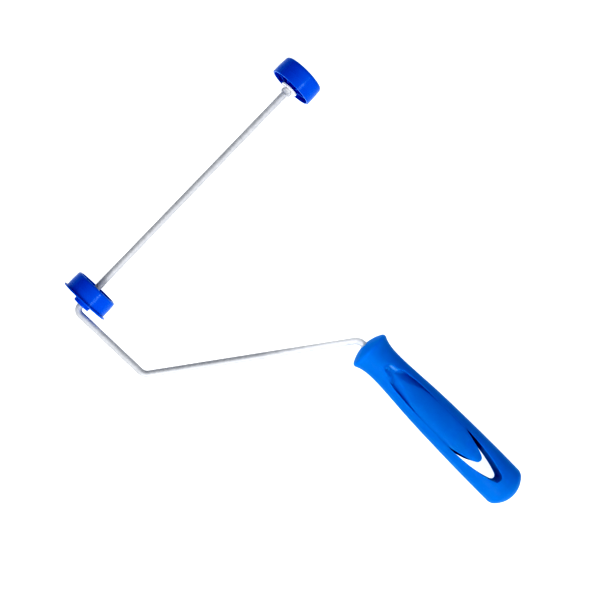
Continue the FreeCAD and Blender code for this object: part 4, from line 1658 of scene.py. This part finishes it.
@dataclass(frozen=True)
class Studio:
    """Pale floor, bright room and the camera."""

    floor_drop: float = 0.2 * MM     # below the part's lowest point
    floor_size: float = 6.0
    floor_tones: tuple[Triple, Triple] = ((0.36, 0.36, 0.36), (0.39, 0.39, 0.39))
    floor_glow: float = 0.48
    room_bright: Triple = (0.72, 0.72, 0.72)
    room_dark: Triple = (0.18, 0.19, 0.21)
    room_seen: Triple = (0.85, 0.85, 0.85)
    dark_side: tuple[float, float] = (0.1, 0.7)   # of X + slant * Y, where the room darkens
    dark_slant: float = 0.7
    contrast: float = 1.8        # of the picture, about middle grey
    curve_points: int = 6
    focal_length: float = 78.3
    camera_place: Triple = (0.05711, -0.06088, 1.04117)
    camera_axes: tuple[Triple, Triple, Triple] = (     # right, up and back
        (0.68816, -0.72078, 0.08313), (0.72322, 0.69062, 0.00115),
        (-0.05824, 0.05933, 0.99654))

    def build(self) -> None:
        """Set up the floor, the surroundings, the lights and the camera."""
        self._floor()
        self._surroundings()
        for lamp in LAMPS:
            lamp.build()
        self._camera()
        self._tone()

    def _tone(self) -> None:
        """Give the picture the contrast of a catalogue print.

        A display value v between 0 and 1 becomes 0.5 + contrast * (v - 0.5). The curve works on
        linear light, so both sides go through the display's own curve,
        ((v + 0.055) / 1.055) ^ 2.4.
        """
        shown = np.linspace(0.0, 1.0, self.curve_points)
        source = 0.5 + (shown - 0.5) / self.contrast
        places = np.stack([((v + 0.055) / 1.055) ** 2.4 for v in (source, shown)], axis=1)
        view = bpy.context.scene.view_settings
        view.view_transform = "Standard"
        view.use_curve_mapping = True
        curve = view.curve_mapping.curves[3]
        places[0, 1] = 0.0
        curve.points[0].location = places[0]
        curve.points[-1].location = places[-1]
        for place in places[1:-1]:
            curve.points.new(*place)
        view.curve_mapping.update()

    def _floor(self) -> None:
        """Plain pale floor just under the caps' flange."""
        sheet, shader = blank_material("pale_floor")
        sheet.feed(shader, {
            "Base Color": sheet.mix(sheet.noise(sheet.place(), 40.0), *self.floor_tones),
            "Roughness": 0.8, "Specular IOR Level": 0.1, "Emission Color": (1.0, 1.0, 1.0),
            "Emission Strength": self.floor_glow})
        half = self.floor_size / 2
        low = CAD_BOX[0][2] - self.floor_drop
        mesh = bpy.data.meshes.new("floor")
        mesh.from_pydata([(x, y, low) for x, y in (
            (-half, -half), (half, -half), (half, half), (-half, half))], [], [(0, 1, 2, 3)])
        mesh.materials.append(bpy.data.materials["pale_floor"])
        in_scene("floor", mesh)

    def _surroundings(self) -> None:
        """Bright room with a darker side towards +X and +Y, which draws the wire's dark line."""
        world = bpy.data.worlds.new("studio")
        world.use_nodes = True
        world.node_tree.nodes.clear()
        sheet = Sheet(world.node_tree)
        way = sheet.add("ShaderNodeTexCoord").outputs["Generated"]
        parts = sheet.add("ShaderNodeSeparateXYZ", {"Vector": way}).outputs
        side = sheet.ramp(sheet.plus(parts["X"], sheet.times(parts["Y"], self.dark_slant)),
                          *self.dark_side)
        seen = sheet.add("ShaderNodeLightPath").outputs["Is Camera Ray"]
        tone = sheet.mix(seen, sheet.mix(side, self.room_bright, self.room_dark),
                         self.room_seen)
        back = sheet.add("ShaderNodeBackground", {"Color": tone, "Strength": 1.0})
        sheet.add("ShaderNodeOutputWorld", {"Surface": back.outputs[0]})
        bpy.context.scene.world = world

    def _camera(self) -> None:
        """Camera above the part, turned so that the roller axis runs up to the right."""
        lens = bpy.data.cameras.new("camera")
        lens.lens = self.focal_length
        lens.sensor_width = 36.0
        lens.clip_start, lens.clip_end = 0.01, 50.0
        camera = in_scene("camera", lens)
        turn = Matrix(self.camera_axes).transposed()
        camera.matrix_world = Matrix.Translation(self.camera_place) @ turn.to_4x4()
        bpy.context.scene.camera = camera


# ---------------------------------------------------------------- the part


def settle(piece: bpy.types.Object, body: str, node: str) -> None:
    """Hand a finished piece to the CAD frame and report it.

    Args:
        piece: The piece.
        body: The body that it rides on.
        node: The CAD node that it stands for.
    """
    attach(piece, body)
    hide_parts(node)
    log.info("%s: %d faces, rides on %s, stands for %s", piece.name,
             len(piece.data.polygons), body, node)


def main() -> None:
    """Build every piece in order, then the studio."""
    logging.basicConfig(level=logging.INFO, format="%(name)s: %(message)s")
    effects = Effects()
    handle_blue = HANDLE_BLUE.material(effects)
    cap_blue = CAP_BLUE.material(effects)
    bush_white = BUSH_WHITE.material(effects)
    wire = Wire(WIRE_ZINC.material(effects))
    settle(wire.build(), "frame", "frame_wire")
    settle(Handle(handle_blue, wire).build(), "frame", "handle")
    settle(StarWasher(WASHER_ZINC.material(effects)).build(), "frame", "push_nut")
    settle(inner_cap(cap_blue).build(), "inner_spinner", "inner_cap")
    settle(Bush("inner_bush_moulding", "inner_bush", Sense.TO_SIDE_ARM, bush_white).build(),
           "inner_spinner", "inner_bush")
    settle(outer_cap(cap_blue).build(), "outer_spinner", "outer_cap")
    settle(Bush("outer_bush_moulding", "outer_bush", Sense.TO_FREE_END, bush_white).build(),
           "outer_spinner", "outer_bush")
    Studio().build()


if __name__ == "__main__":
    main()
